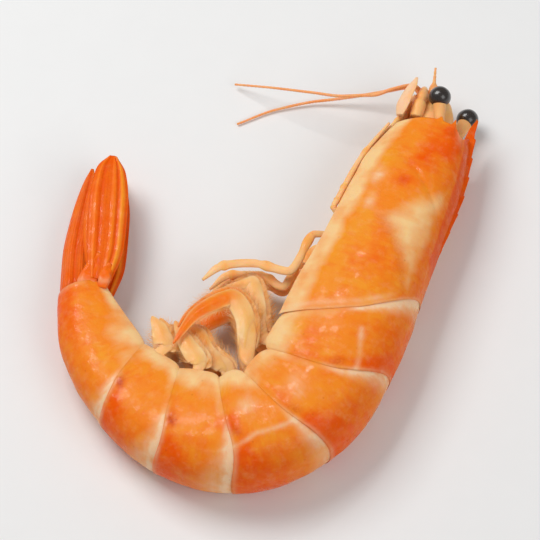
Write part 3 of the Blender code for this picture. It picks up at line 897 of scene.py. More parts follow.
def shell_finish(name, translucency=0.16, unevenness=1.0):
    """Wet cooked shell. Fields of the mesh say where it is cream, pearly, deep orange, amber or marked; the
    pearly field also carries painted highlights, and the deep orange and marked fields also carry painted
    shade. Two more tell the place on the prawn, for the streaks that run across the body."""
    tints = colours()
    finish = Finish(name)
    lumps = finish.noise(2.6, 3.0)
    patches = finish.noise(5.0, 2.0)
    grain = finish.noise(0.42, 2.0)
    wetness = finish.noise(1.5, 2.0)
    across = finish.node("ShaderNodeCombineXYZ", None, {
        "X": finish.attribute("station"), "Y": finish.attribute("around") * 5.0,
    })
    streaks = finish.noise(0.8, 3.0, across.outputs["Vector"])
    flecks = finish.ramp(finish.noise(1.7, 4.0, None, 0.6), ((0.50, 0.0), (0.74, 1.0)))
    mottle = ((lumps - 0.5) * 1.6 + (streaks - 0.5) * 1.0) * unevenness
    blotch = (patches - 0.5) * 1.6 * unevenness
    cells = finish.cells(0.6)
    speck = finish.ramp(Value(finish, cells["Distance"]), ((0.06, 1.0), (0.16, 0.0)))
    chosen = finish.ramp(Value(finish, cells["Color"]), ((0.70, 0.0), (0.76, 1.0)))

    shares = {
        "amber": finish.attribute("amber") + blotch - mottle * 0.4,
        "deep_orange_and_shade": finish.attribute("deep") * (1.0 - blotch * 0.5) + mottle * 0.7 + (grain - 0.5) * 0.2,
        "cream": finish.attribute("pale") * (1.0 + blotch) + mottle * 0.35 + blotch * 0.25 - 0.14,
        "pearl": finish.attribute("pearl") * (1.0 + mottle * 1.5) + flecks * 0.13 * unevenness,
        "mark": (finish.attribute("mark") * (1.0 + (grain - 0.5) * 1.6)).clamped() + speck * chosen * 0.3,
    }
    tone = tints["orange"]
    for label, share in shares.items():
        tone = finish.mix(share.clamped(), tone, tints[label])
    finish.paint(tone, (0.28 + (patches - 0.5) * 0.8 + grain * 0.16).clamped())
    finish.feed(finish.shader.inputs["Coat Weight"], finish.ramp(wetness, ((0.47, 0.02), (0.62, 0.24))))
    finish.bump(lumps * 0.55 + grain * 0.22 + streaks * 0.23, 0.26, 0.9)
    finish.body(translucency, (1.0, 0.28, 0.06), 0.0013, coat_roughness=0.10, specular=0.07)
    return finish.material


def limb_finish(name, first, second, subsurface=0.3):
    """Thin flesh or bristle, mottled between two colours."""
    finish = Finish(name)
    lumps = finish.noise(1.6, 3.0)
    grain = finish.noise(0.3, 2.0)
    tone = finish.mix(finish.ramp(lumps, ((0.35, 0.0), (0.65, 1.0))), first, second)
    finish.paint(tone, 0.30 + grain * 0.2)
    finish.bump(grain, 0.03, 0.5)
    finish.body(subsurface, (1.0, 0.5, 0.25), 0.001, coat=0.2, coat_roughness=0.15)
    return finish.material


def eye_finish():
    """Shiny black with very fine facets."""
    finish = Finish("eye_black")
    height = Value(finish, finish.cells(9.0)["Distance"])
    tone = finish.mix(finish.noise(1.0), colours()["eye"], (0.03, 0.018, 0.012))
    finish.paint(tone, 0.16 + height * 0.2)
    finish.bump(height, 0.02, 0.5)
    finish.body(0.0, (1, 1, 1), 0.001, coat=0.6, coat_roughness=0.08)
    return finish.material


MATERIALS = {}


def material(name):
    """The named material. All of them are made when the first is asked for."""
    if not MATERIALS:
        tints = colours()
        MATERIALS["shell"] = shell_finish("cooked_shell")
        MATERIALS["pale_shell"] = shell_finish("pale_shell", 0.2, 0.8)
        MATERIALS["leg_shell"] = shell_finish("leg_shell", 0.35, 0.6)
        MATERIALS["fan_shell"] = shell_finish("fan_shell", 0.12, 0.5)
        MATERIALS["meat"] = limb_finish("prawn_meat", tints["meat"], tints["cream"], 0.5)
        MATERIALS["bristles"] = limb_finish("bristles", tints["cream"], tints["amber"])
        MATERIALS["eye_black"] = eye_finish()
    return MATERIALS[name]


# The pieces.


FIELDS = ("pale", "pearl", "deep", "amber", "mark")


def spots(label, station, degrees):
    """Soft spots of one kind painted on the shell, at stations and degrees from the back."""
    level = np.zeros(np.shape(station))
    for at, round_at, length, breadth, strength in SPOTS[label]:
        along = (station * 1000 - at) / length
        across = (degrees - round_at) / breadth
        level = level + strength * np.exp(-along ** 2 - across ** 2)
    return level


def side_highlights(station, degrees):
    """The painted highlight lines along the side."""
    level = np.zeros(np.shape(station))
    for path in SIDE_HIGHLIGHTS:
        places, turns = zip(*path)
        mm = station * 1000
        on_line = bump(degrees, np.interp(mm, places, turns), SIDE_HIGHLIGHT_SPREAD)
        fading = ease((mm - places[0]) / SIDE_HIGHLIGHT_FADE_MM) * ease((places[-1] - mm) / SIDE_HIGHLIGHT_FADE_MM)
        level = level + on_line * fading
    return level


def plate_fields(station, around, **levels):
    """The fields that the shell's finish reads, each over all the points of a plate."""
    fields = {"station": station * 1000, "around": around / math.pi}
    degrees = np.degrees(around)
    for label in FIELDS:
        level = levels.get(label, 0.0) + spots(label, station, degrees)
        fields[label] = np.broadcast_to(np.clip(level, 0, 1), station.shape)
    return fields


def plain_fields(**levels):
    """The same fields for a small piece, as single numbers unless given."""
    return {label: 0.0 for label in FIELDS + ("station", "around")} | levels


def unevenness(station, angle):
    """How far the whole shell dents and bulges."""
    points = skin(station, angle)
    return sum(rise * wobble(points, size, seed) for size, rise, seed in DENTS)


def make_piece(name, grid, slot_name, nodes, look=None):
    """A finished piece from a grid, in its slot's own look unless another is named."""
    dress(new_piece(name, grid, material(look or slot_name)), nodes)


def outline(place, form, sign=1):
    """The points of a small piece's form on one side: each a place, a half width and a half thickness."""
    return [(place(along, out, sign * aside), wide, thick) for along, out, aside, wide, thick in form]


def make_swept(name, points, counts, slot_name, levels, nodes=None, **shape):
    """A piece swept through points, with so many rows and sides. The levels of its fields are worked out
    from the share along it and the angle round it. It replaces the node of its name unless told."""
    rows, share, angle = sweep(points, *counts, **shape)
    grid = tube_grid(rows, plain_fields(**levels(share, angle)))
    make_piece(name, grid, slot_name, [name] if nodes is None else nodes)


def make_plate(name, node, places, lift, lobe, levels):
    """A thin plate of the shell, lifted off the skin, that gets thinner towards its rear rim."""
    station, angle, to_rim = places
    full = bpy.context.scene.prawn_sizes.shell_thickness
    thickness = full * (1 - RIM_THINNING * (1 - ease(to_rim / RIM_TAPER)))
    lift = lift + unevenness(station, angle)
    outer = skin(station, angle, lift, lobe)
    inner = skin(station, angle, lift - thickness, lobe)
    fields = plate_fields(station, np.abs(angle), **levels)
    make_piece(name, shell_grid(outer, inner, fields), "shell", [node])


def make_ring(number):
    """One plate of the tail's shell, tucked in at its front under the plate before it."""
    angle = np.linspace(-PLATE_EDGE_ANGLE, PLATE_EDGE_ANGLE, PLATE_COLUMNS)[None, :]
    start = joint_station(number - 1, angle)
    end = joint_station(number, angle) + SEAM_CLOSING
    tucked = -bpy.context.scene.prawn_sizes.overlap * np.linspace(1, 0.06, TUCKED_ROWS)[:, None]
    visible = (end - start) * np.linspace(0, 1, PLATE_ROWS)[:, None]
    station = np.concatenate([start + tucked, start + visible])
    angle = np.broadcast_to(angle, station.shape)
    depth = station - start
    share = depth / (end - start)
    to_rim = end - station
    from_back = np.minimum(np.abs(angle) / FACET_HALF_ANGLE, 1)
    facet = FACETS[number - 1] * np.cos(from_back * math.pi / 2) ** 0.9

    front_dip = FIRST_RING_FRONT_DIP if number == 1 else 1.0
    dip = np.where(share < 0.5, front_dip, 1.0) * np.abs(2 * np.clip(share, 0, 1) - 1) ** 3
    lobe = 1 - LOBE_DEPTH * dip
    lift = ring_relief(np.abs(angle), depth, share, to_rim, facet)
    levels = ring_levels(number, station, np.degrees(np.abs(angle)), depth, share, to_rim, facet)
    make_plate(f"shell_ring_{number}", f"ring_{number}", (station, angle, to_rim), lift, lobe, levels)


def ring_relief(around, depth, share, to_rim, facet):
    """How far a ring's plate rises: it dives under the plate before it, its facet is sunk, a ridge runs
    along each side, and its raised rear rim has a shallow groove before it."""
    on_facet = (1 - ease((depth - facet) / FACET_EDGE + 0.5)) * ease(facet / SHORTEST_FACET)
    ridge = bump(around, SIDE_RIDGE_ANGLE, SIDE_RIDGE_WIDTH) * (1 - on_facet) * ease(share / SIDE_RIDGE_START)
    lift = -TUCK * (1 - ease(depth / TUCK_LENGTH)) - TUCK_MORE * ease(-depth / TUCK_MORE_LENGTH)
    lift = lift - FACET_SINK * on_facet + SIDE_RIDGE_RISE * ridge
    lift = lift + RIM_RISE * ease((RIM_WIDTH - to_rim) / RIM_SOFTNESS)
    return lift - RIM_GROOVE_DEPTH * bump(to_rim, RIM_GROOVE_PLACE, RIM_GROOVE_WIDTH)


def ring_levels(number, station, degrees, depth, share, to_rim, facet):
    """A ring's colours: its facet is pale, with a painted highlight along its front edge, and painted
    highlights run along its rear rim and its side; its lower edge is cream; its back, partly as painted
    shade, and the stretch before its rear rim are deep orange; and its hinge is marked."""
    on_side = ease((104 - degrees) / 16)
    strength = FACET_PALENESS_AND_HIGHLIGHT[number - 1]
    fading = (1 - ease((depth - 0.5 * facet) / (0.0006 + 0.9 * facet))) * ease(facet / SHORTEST_FACET)
    # The facet is pale in itself and brighter along its front edge as a painted highlight. Thin painted
    # highlights also run along the facet's front edge, along the rear rim and along the side.
    pearl = strength * fading * (0.55 + 0.45 * bump(depth, 0.0005, 0.0011))
    pearl = pearl + 0.45 * strength * bump(depth, 0.0003, 0.0006) * on_side
    pearl = pearl + 0.30 * bump(to_rim, 0.0002, 0.0004) * on_side + 0.42 * side_highlights(station, degrees)
    pale = 0.35 * bump(depth, 0.0008, 0.0016) * ease((degrees - 92) / 14)
    pale = pale + 0.95 * ease((degrees - 116) / 26)
    # The back is deep orange and deepens towards the ring's rear. This is partly the shell's own colour and
    # partly painted shade where the back turns from the light.
    on_back = 1 - ease((degrees - 26) / 64)
    deep = on_back * (0.30 + 0.55 * ease((share - 0.15) / 0.75)) * (1 - fading)
    deep = deep + 0.35 * bump(to_rim, 0.0016, 0.0012) * (1 - ease((degrees - 98) / 16))
    hinge = bump(to_rim, 0.0013, HINGE_LENGTH) * bump(degrees, HINGE_ANGLE, HINGE_SPREAD)
    mark = (1.0 if number in DARK_HINGES else 0.5) * hinge * (number < len(FACETS))
    return {"pale": pale, "pearl": pearl, "deep": deep, "mark": mark}


def head_margin(angle):
    """Where the head shell starts at an angle round it: further back under the eye and at the belly,
    and with small spines."""
    degrees = np.degrees(np.abs(angle))
    notch_at, notch_width, notch_depth = EYE_NOTCH
    margin = HEAD_FRONT + notch_depth * bump(degrees, notch_at, notch_width)
    margin = margin + BELLY_NOTCH * np.maximum(-np.cos(angle), 0) ** 2
    for place, width, reach in HEAD_SPINES:
        margin = margin - reach * bump(degrees, place, width)
    return margin


def inside(station, degrees, corners, softness):
    """1 inside a soft three-cornered patch, whose corners are stations in millimetres and degrees."""
    x = station * 1000
    y = degrees * SKIN_MM_PER_DEGREE
    corners = [(a, b * SKIN_MM_PER_DEGREE) for a, b in corners]
    depth = np.full(x.shape, np.inf)
    for (ax, ay), (bx, by) in zip(corners, corners[1:] + corners[:1]):
        length = math.hypot(bx - ax, by - ay)
        depth = np.minimum(depth, ((bx - ax) * (y - ay) - (by - ay) * (x - ax)) / length)
    return ease(depth / softness + 0.5)


def make_head_shell():
    """The head's shell, one large plate with a shallow groove."""
    angle = np.linspace(-PLATE_EDGE_ANGLE, PLATE_EDGE_ANGLE, HEAD_COLUMNS)[None, :]
    start = head_margin(angle)
    end = joint_station(0, angle) + SEAM_CLOSING
    station = start + (end - start) * np.linspace(0, 1, HEAD_ROWS)[:, None]
    angle = np.broadcast_to(angle, station.shape)
    degrees = np.degrees(np.abs(angle))
    to_rim = end - station
    from_front = station - start

    groove_turn = np.clip((NECK_GROOVE_TURN - station) / NECK_GROOVE_TURN_LENGTH, -0.5, 1.2)
    neck_groove = bump(degrees, 60 + 60 * groove_turn, 5)
    neck_groove = neck_groove * bump(station, NECK_GROOVE_STATION, NECK_GROOVE_LENGTH)
    lift = HEAD_RIM_RISE * ease((HEAD_RIM_WIDTH - to_rim) / HEAD_RIM_SOFTNESS)
    lift = lift - NECK_GROOVE_DEPTH * neck_groove
    lift = lift + HEAD_LIP_RISE * ease((HEAD_LIP_WIDTH - from_front) / HEAD_LIP_SOFTNESS)
    lift = lift - HEAD_FRONT_SINK * (1 - ease(from_front / HEAD_FRONT_SINK_LENGTH))

    wedge = inside(station, degrees, WEDGE_CORNERS, 5.0)
    shade = inside(station, degrees, WEDGE_SHADE_CORNERS, 2.0)
    # The crest's side is deep orange and is darkened further with painted shade.
    crest_side = 1 - ease((degrees - 19 - 8 * ease((-0.018 - station) / 0.014)) / 9)
    crest_side = crest_side * ease((-0.0135 - station) / 0.004)
    rim_pearl = 0.35 * bump(to_rim, 0.0014, 0.0007) * ease((degrees - 50) / 20)
    levels = {
        "pale": wedge + ease((degrees - 122) / 16),
        # A thin painted highlight along the rear rim.
        "pearl": rim_pearl + 0.30 * bump(to_rim, 0.0002, 0.0004),
        "deep": 1.3 * crest_side + 0.45 * (1 - ease((degrees - 38) / 26)) * (1 - wedge),
        "mark": 0.35 * shade * (1 - wedge) + 0.28 * crest_side,
    }
    make_plate("shell_head", "carapace", (station, angle, to_rim), lift, 1.0, levels)


def rostrum_top(station):
    """Height of the toothed crest over the spine; each tooth rises forwards and then drops."""
    back = shape_at(station)[0]
    share = (ROSTRUM_BACK - station) / (ROSTRUM_BACK - ROSTRUM_TIP[0])
    rise = ROSTRUM_RISE * np.sin(math.pi * np.minimum(share * 1.2, 1) / 2)
    tooth = (share * ROSTRUM_TEETH) % 1
    level = back + rise * (1 - ROSTRUM_TOOTH_SHARE + ROSTRUM_TOOTH_SHARE * tooth ** 1.6)
    fall = np.maximum(share - ROSTRUM_POINT, 0) / (1 - ROSTRUM_POINT)
    return level + (ROSTRUM_TIP[1] - level) * fall


def make_rostrum():
    """The thin toothed crest on the head shell, which ends in a free point."""
    share = np.linspace(0.004, 0.996, ROSTRUM_ROWS)
    station = ROSTRUM_BACK - (ROSTRUM_BACK - ROSTRUM_TIP[0]) * share
    top = rostrum_top(station)
    free = np.maximum((HEAD_FRONT - station) / (HEAD_FRONT - ROSTRUM_TIP[0]), 0)
    bottom = np.minimum(shape_at(station)[0] - ROSTRUM_FOOT * (1 - free), top - 0.0004)
    level = np.linspace(0, 1, ROSTRUM_LEVELS)
    half = ROSTRUM_FOOT_HALF_WIDTH * (1 - level) ** 1.5 + ROSTRUM_EDGE_HALF_WIDTH
    sides = np.concatenate([half, -half[::-1]])
    heights = np.concatenate([level, level[::-1]])
    out = bottom[:, None] + (top - bottom)[:, None] * heights[None, :]
    rows = locate(station[:, None], 0, out, sides[None, :] * (1 - 0.4 * free[:, None]))
    make_piece("shell_crest", tube_grid(rows, plain_fields(deep=1.0)), "shell", [])


def make_meat():
    """The meat that fills the shell, with its groove and its cross bars along the belly."""
    station = np.linspace(MEAT_FRONT, MEAT_REAR, MEAT_ROWS)[:, None]
    angle = round_angles(MEAT_SIDES)[None, :]
    angle = np.where(angle > math.pi, angle - 2 * math.pi, angle)
    bars = sum(bump(station, joint + MEAT_BAR_PLACE, MEAT_BAR_WIDTH) for joint in JOINTS[:-1])
    under = ease((np.abs(angle) - math.radians(150)) / math.radians(20))
    full = ease((station - MEAT_FRONT + 0.0005) / MEAT_FRONT_ROUNDING)
    full = full * ease((MEAT_REAR + 0.0012 - station) / MEAT_REAR_ROUNDING)
    lift = MEAT_BAR_RISE * bars * under - MEAT_SINK - MEAT_END_SINK * (1 - full)
    make_piece("meat", tube_grid(skin(station, angle, lift), {}), "shell", [], look="meat")


def make_head_front():
    """The blunt front of the head, under the eyes."""
    make_swept(
        "head_front", outline(head_point, HEAD_FRONT_FORM), (60, 48), "pale_shell",
        lambda share, angle: {"pale": 0.85, "amber": 1.0, "deep": 0.1 * ease((0.5 - share) / 0.3)},
    )


def make_eyes():
    """The black eyes and their stalks."""
    for side, sign in SIDES:
        along, out, up = EYES[side]
        centre = head_point(along, out, up)
        theta = np.linspace(0.0, math.pi, 42)[1:-1, None]
        phi = round_angles(64)[None, :]
        ball = np.stack(np.broadcast_arrays(
            np.sin(theta) * np.cos(phi), 0.94 * np.sin(theta) * np.sin(phi), 0.98 * np.cos(theta)
        ), axis=-1)
        rows = centre + ball * (EYE_RADIUS * (1 + EYE_UNEVENNESS * wobble(ball, 0.9, sign))[..., None])
        make_piece(f"eye_{side}", tube_grid(rows, {}), "eye_black", [f"eye_{side}"])

        root = head_point(HEAD_FRONT + 0.0006, out * 0.5 + 0.0008, sign * EYESTALK_ROOT_ASIDE)
        end = root + (centre - root) * EYESTALK_LENGTH
        points = [(p, r, r) for p, r in zip((root, (root + end) / 2, end), EYESTALK_RADII)]
        make_swept(
            f"eyestalk_{side}", points, (24, 24), "pale_shell",
            lambda share, angle: {"pale": 0.75, "amber": 0.9, "deep": 0.4 * (1 - share)},
        )


def make_feelers():
    """On each side the scale beside the mouth, the short feeler, and the long one with its base."""
    for side, sign in SIDES:
        make_swept(
            f"scale_{side}", outline(head_point, SCALE_FORM, sign), (60, 32), "pale_shell",
            lambda share, angle: {"pale": 1.0, "pearl": 0.5 + 0.5 * np.abs(np.cos(angle)) ** 3},
            tilt=sign * SCALE_TILT,
        )
        make_swept(
            f"short_feeler_{side}", outline(head_point, SHORT_FEELER_FORM, sign), (90, 18), "leg_shell",
            lambda share, angle: {"pale": 0.45, "amber": 0.6, "pearl": 0.4 * share},
            swell=lambda share: 1 + 0.1 * np.sin(share * 90),
        )
        make_swept(
            f"feeler_base_{side}", outline(head_point, FEELER_BASE_FORM, sign), (60, 28), "pale_shell",
            lambda share, angle: {"pale": 0.8 + 0.2 * np.cos(angle), "amber": 0.9, "pearl": 0.3 * share},
            nodes=[], swell=feeler_base_joints,
        )
        course = LONG_FEELERS[side]
        radii = np.linspace(FEELER_ROOT_RADIUS, FEELER_TIP_RADIUS, len(course))
        make_swept(
            f"long_feeler_{side}", [(head_point(*place), r, r) for place, r in zip(course, radii)],
            (500, 12), "leg_shell",
            lambda share, angle: {"pale": 0.3, "pearl": 0.35, "deep": 0.2, "station": share * 90},
            swell=lambda share: 1 + 0.1 * np.sin(share * 500),
        )


def feeler_base_joints(share):
    """The waists between the segments that a long feeler grows from."""
    return 1 - 0.28 * bump(share, 0.42, 0.05) - 0.22 * bump(share, 0.74, 0.04)


def leg_joints(share):
    """A leg's segments: a little thicker at each joint and thinner after it."""
    return 1 + sum(
        LEG_JOINT_SWELLING * bump(share, joint, LEG_JOINT_LENGTH)
        - LEG_WAIST * bump(share, joint + LEG_WAIST_PLACE, LEG_WAIST_LENGTH)
        for joint in LEG_JOINTS
    )


def folded_leg_points(root, tip, lane, sign):
    """A leg folded forwards under the head shell, in a lane of its own."""
    points = []
    for share, drop, size in FOLDED_LEG_COURSE:
        along = root + (tip - root) * share
        _, belly, width, _ = shape_at(along)
        side = lane * max(width, NARROWEST_LANES)
        start = belly_at(along, side) - LEG_ROOT_RADIUS - GAP
        out = start + (min(-belly * LEG_TUCK, start) - start) * drop
        radius = LEG_TIP_RADIUS + (LEG_ROOT_RADIUS - LEG_TIP_RADIUS) * size
        points.append((head_point(along, out, sign * side), radius, radius))
        if share == 0:
            inside_body = head_point(along + 0.0012, out + ROOT_DEPTH, sign * side * 0.8)
            points.insert(0, (inside_body, radius, radius))
    return points


def hanging_limb_points(spec, sign, half_width, half_thickness):
    """A limb that leaves the groove of the belly and bends inwards, in a lane of its own."""
    station, root_lane, tip_lane, bends = spec
    _, belly, _, floor_height = shape_at(station)
    level = LIMBS_HEIGHT - floor_height
    root_out = belly_at(station, abs(level + sign * root_lane)) - half_thickness - GAP
    places = [(0, root_out), (bends[0][0] * 0.15, -belly - 0.0006)] + list(bends)
    sizes = [0.6, 0.85] + [1.0] * (len(bends) - 1) + [0.3]
    points = []
    for k, ((along, out), size) in enumerate(zip(places, sizes)):
        share = min(k / len(bends), 1)
        side = level + sign * (root_lane + (tip_lane - root_lane) * share)
        thickness = half_thickness * (0.5 + 0.5 * size)
        points.append((locate(station, along, out, side), half_width * size, thickness))
        if k == 0:
            inside_body = locate(station, along, out + ROOT_DEPTH, side * 0.8 + level * 0.2)
            points.insert(0, (inside_body, half_width * size, thickness))
    return points


def make_legs():
    """The mouth legs and the walking legs."""
    for side, sign in SIDES:
        for name, (root, tip, lane) in FOLDED_LEGS.items():
            make_leg(f"{name}_{side}", folded_leg_points(root, tip, lane, sign))
        for name, spec in TRAILING_LEGS.items():
            points = hanging_limb_points(spec, sign, TRAILING_LEG_HALF_WIDTH, TRAILING_LEG_HALF_THICKNESS)
            make_leg(f"{name}_{side}", points)


def make_leg(name, points):
    """One leg, redder at its joints and paler between them."""
    make_swept(name, points, (140, 20), "leg_shell", leg_levels, swell=leg_joints)


def leg_levels(share, angle):
    at_joint = sum(bump(share, joint, 0.03) for joint in LEG_JOINTS)
    return {
        "pale": 0.86 - 0.25 * at_joint, "pearl": 0.25 * (1 - at_joint), "amber": 1.0,
        "station": np.cos(angle) * 0.8, "around": share * 0.8,
    }


def leaf(path, lane, breadth, height, last):
    """A leaf shaped blade along part of a limb's path: its rows, the share along it, the angle round it,
    and its two edges, as points, the way that the bristles on them face and their share of the length."""
    chosen = slice(int(LEAF_START * SWIMMERET_ROWS), int(last * SWIMMERET_ROWS))
    centres, wide, thick, along, across, through = (rows[chosen] for rows in path)
    wide = wide.max()
    thick = thick.max()
    share = np.linspace(0.004, 0.996, len(centres))
    fullness = np.sin(math.pi * share ** 0.62) ** 0.6
    angle = round_angles(LEAF_SIDES)
    u, v = np.cos(angle), np.sin(angle)
    thinness = LEAF_THICKNESS * (1 - 0.45 * np.abs(u)) + LEAF_RIB * bump(u, 0, 0.12)
    rows = (centres + across * (lane * wide) + through * (height * thick))[:, None, :]
    rows = rows + across[:, None, :] * (u[None, :, None] * (fullness * breadth * wide)[:, None, None])
    depth = (v * thinness)[None, :] * (fullness ** 0.5)[:, None]
    depth = depth - LEAF_HOLLOW * (u ** 2)[None, :] * fullness[:, None]
    wave = LEAF_WAVE * np.sin(share * LEAF_WAVES)[:, None] * (u ** 3)[None, :]
    rows = rows + through[:, None, :] * ((depth + wave) * thick)[:, :, None]
    rows[..., 2] = np.maximum(rows[..., 2], 0.00002)
    edges = []
    for column, way in ((0, 1), (LEAF_SIDES // 2, -1)):
        edges.append((rows[:, column], across * way * 0.8 + along * 0.75, fullness))
    return rows, share[:, None], angle[None, :], edges


def stalk_taper(share):
    """A swimmeret's stalk gets thin between its blades."""
    return 1 - 0.75 * ease((share - 0.42) / 0.2)


def swimmeret_grid(spec, sign, deepness):
    """One swimmeret's grid, and the edges that carry its bristles."""
    points = hanging_limb_points(spec, sign, SWIMMERET_HALF_WIDTH, SWIMMERET_HALF_THICKNESS)
    centres, wide, thick = limb_form(points, SWIMMERET_ROWS)
    path = (centres, wide, thick) + path_frames(centres)
    rows, share, _ = sweep(points, SWIMMERET_ROWS, LEAF_SIDES, swell=stalk_taper)
    end = int((LONG_STALK_END if len(points) > 4 else STALK_END) * SWIMMERET_ROWS)
    share = share[:end]
    fields = plain_fields(pale=0.85 - 0.25 * share, pearl=0.2, amber=1.0, station=share * 10)
    parts = [tube_grid(rows[:end], fields)]
    edges = []
    for lane, breadth, height, last in LEAVES:
        rows, share, angle, new_edges = leaf(path, lane, breadth, height, last)
        edges += new_edges
        rim = np.abs(np.cos(angle)) ** 2.5
        deep = deepness * (1 - 0.55 * rim ** 2) * ease((share - 0.25) / 0.3)
        fields = plain_fields(
            pale=np.clip(0.74 - 1.1 * deep + 0.3 * rim, 0, 1), pearl=0.25 * rim * (1 - deep),
            deep=deep, amber=1.0, station=rim * 1.6, around=share * 0.5,
        )
        parts.append(tube_grid(rows, fields))
    return join_grids(parts), edges


def make_swimmerets():
    """The swimmerets: a short flat stalk with two leaf shaped blades, fringed with bristles."""
    edges = []
    for side, sign in SIDES:
        for name, spec in SWIMMERETS.items():
            grid, new_edges = swimmeret_grid(spec, sign, SWIMMERET_DEEPNESS[name])
            edges += new_edges
            make_piece(f"{name}_{side}", grid, "pale_shell", [f"{name}_{side}"])
    make_bristles("swimmeret_bristles", edges)


BRISTLE_INPUTS = {
    "Lines": "Geometry", "Spacing": "Float", "Length": "Float", "Radius": "Float", "Bend": "Float",
    "Sway": "Float", "Seed": "Int", "Material": "Material",
}


def bristle_tree():
    """Geometry Nodes that set thin bent bristles along lines. The lines' points carry the way that the
    bristles face and their share of the full length."""
    group = bpy.data.node_groups.new("bristles_along_lines", "GeometryNodeTree")
    for label, kind in BRISTLE_INPUTS.items():
        group.interface.new_socket(label, in_out="INPUT", socket_type=f"NodeSocket{kind}")
    group.interface.new_socket("Bristles", in_out="OUTPUT", socket_type="NodeSocketGeometry")
    tree = Tree(group)
    node = tree.node
    outputs = node("NodeGroupInput").outputs
    given = {label: Value(tree, outputs[label]) for label in BRISTLE_INPUTS}

    cone = node("GeometryNodeMeshCone", {"fill_type": "NONE"}, {
        "Vertices": 4, "Side Segments": 3, "Radius Top": BRISTLE_TIP_RADIUS,
        "Radius Bottom": given["Radius"], "Depth": given["Length"],
    })
    place = node("GeometryNodeInputPosition").outputs[0]
    height = Value(tree, node("ShaderNodeSeparateXYZ", None, {0: place}).outputs["Z"])
    bend = (height / given["Length"]) ** 2.0 * given["Bend"] * given["Length"]
    offset = node("ShaderNodeCombineXYZ", None, {"X": bend}).outputs[0]
    bristle = node("GeometryNodeSetPosition", None, {"Geometry": cone.outputs["Mesh"], "Offset": offset})

    curves = node("GeometryNodeMeshToCurve", None, {"Mesh": given["Lines"]}).outputs[0]
    spaced = node("GeometryNodeResampleCurve", {"mode": "LENGTH"}, {
        "Curve": curves, "Length": given["Spacing"],
    })
    facing = node("GeometryNodeInputNamedAttribute", {"data_type": "FLOAT_VECTOR"}, {"Name": "facing"})
    reach = node("GeometryNodeInputNamedAttribute", {"data_type": "FLOAT"}, {"Name": "reach"})
    turned = node("FunctionNodeAlignRotationToVector", {"axis": "Z"}, {
        "Vector": facing.outputs["Attribute"],
    })
    back_sway = given["Sway"] * -1.0
    least = node("ShaderNodeCombineXYZ", None, {"X": back_sway, "Y": back_sway, "Z": -math.pi})
    most = node("ShaderNodeCombineXYZ", None, {"X": given["Sway"], "Y": given["Sway"], "Z": math.pi})
    sway = node("FunctionNodeRandomValue", {"data_type": "FLOAT_VECTOR"}, {
        0: least.outputs[0], 1: most.outputs[0], "Seed": given["Seed"],
    })
    euler = node("FunctionNodeEulerToRotation", None, {0: sway.outputs[0]})
    swayed = node("FunctionNodeRotateRotation", {"rotation_space": "LOCAL"}, {
        0: turned.outputs[0], 1: euler.outputs[0],
    })
    size = node("FunctionNodeRandomValue", {"data_type": "FLOAT"}, {
        2: SHORTEST_BRISTLE, 3: LONGEST_BRISTLE, "Seed": given["Seed"],
    })
    placed = node("GeometryNodeInstanceOnPoints", None, {
        "Points": spaced.outputs[0], "Instance": bristle.outputs[0], "Rotation": swayed.outputs[0],
        "Scale": Value(tree, size.outputs[1]) * reach.outputs["Attribute"],
    })
    real = node("GeometryNodeRealizeInstances", None, {"Geometry": placed.outputs[0]})
    coloured = node("GeometryNodeSetMaterial", None, {
        "Geometry": real.outputs[0], "Material": given["Material"],
    })
    tree.feed(node("NodeGroupOutput").inputs[0], coloured.outputs[0])
    return group


def make_bristles(name, edges):
    """Bristles along the edges, each given as points, the way they face and their share of the length."""
    sizes = bpy.context.scene.prawn_sizes
    points, pairs, facing, reach = [], [], [], []
    for edge_points, edge_facing, edge_reach in edges:
        first = len(points)
        points += [tuple(p) for p in edge_points]
        pairs += [(first + k, first + k + 1) for k in range(len(edge_points) - 1)]
        facing += [tuple(f) for f in edge_facing]
        reach += list(edge_reach)
    mesh = bpy.data.meshes.new(f"{name}_lines")
    mesh.from_pydata(points, pairs, [])
    mesh.attributes.new("facing", "FLOAT_VECTOR", "POINT").data.foreach_set("vector", np.ravel(facing))
    mesh.attributes.new("reach", "FLOAT", "POINT").data.foreach_set("value", np.ravel(reach))
    lines = add_object(f"{name}_lines", mesh)
    modifier = lines.modifiers.new("bristles", "NODES")
    modifier.node_group = bristle_tree()
    chosen = {
        "Spacing": sizes.bristle_spacing, "Length": sizes.bristle_length, "Radius": BRISTLE_RADIUS,
        "Bend": BRISTLE_BEND, "Sway": BRISTLE_SWAY, "Seed": sizes.seed, "Material": material("bristles"),
    }
    for item in modifier.node_group.interface.items_tree:
        if item.in_out == "INPUT" and item.name in chosen:
            modifier[item.identifier] = chosen[item.name]
    graph = bpy.context.evaluated_depsgraph_get()
    result = bpy.data.meshes.new_from_object(lines.evaluated_get(graph))
    lines.modifiers.remove(modifier)
    bpy.data.objects.remove(lines)
    dress(add_object(name, result), [])


def blade_relief(humps):
    """The section of a fan's piece with ridges and grooves along it."""
    def section(angle):
        u = np.cos(angle)
        height = 1 + sum(rise * bump(u, place, width) for place, width, rise in humps)
        return u, np.sin(angle) * (height + FINE_RIDGE_RISE * np.sin(u * FINE_RIDGES))
    return section


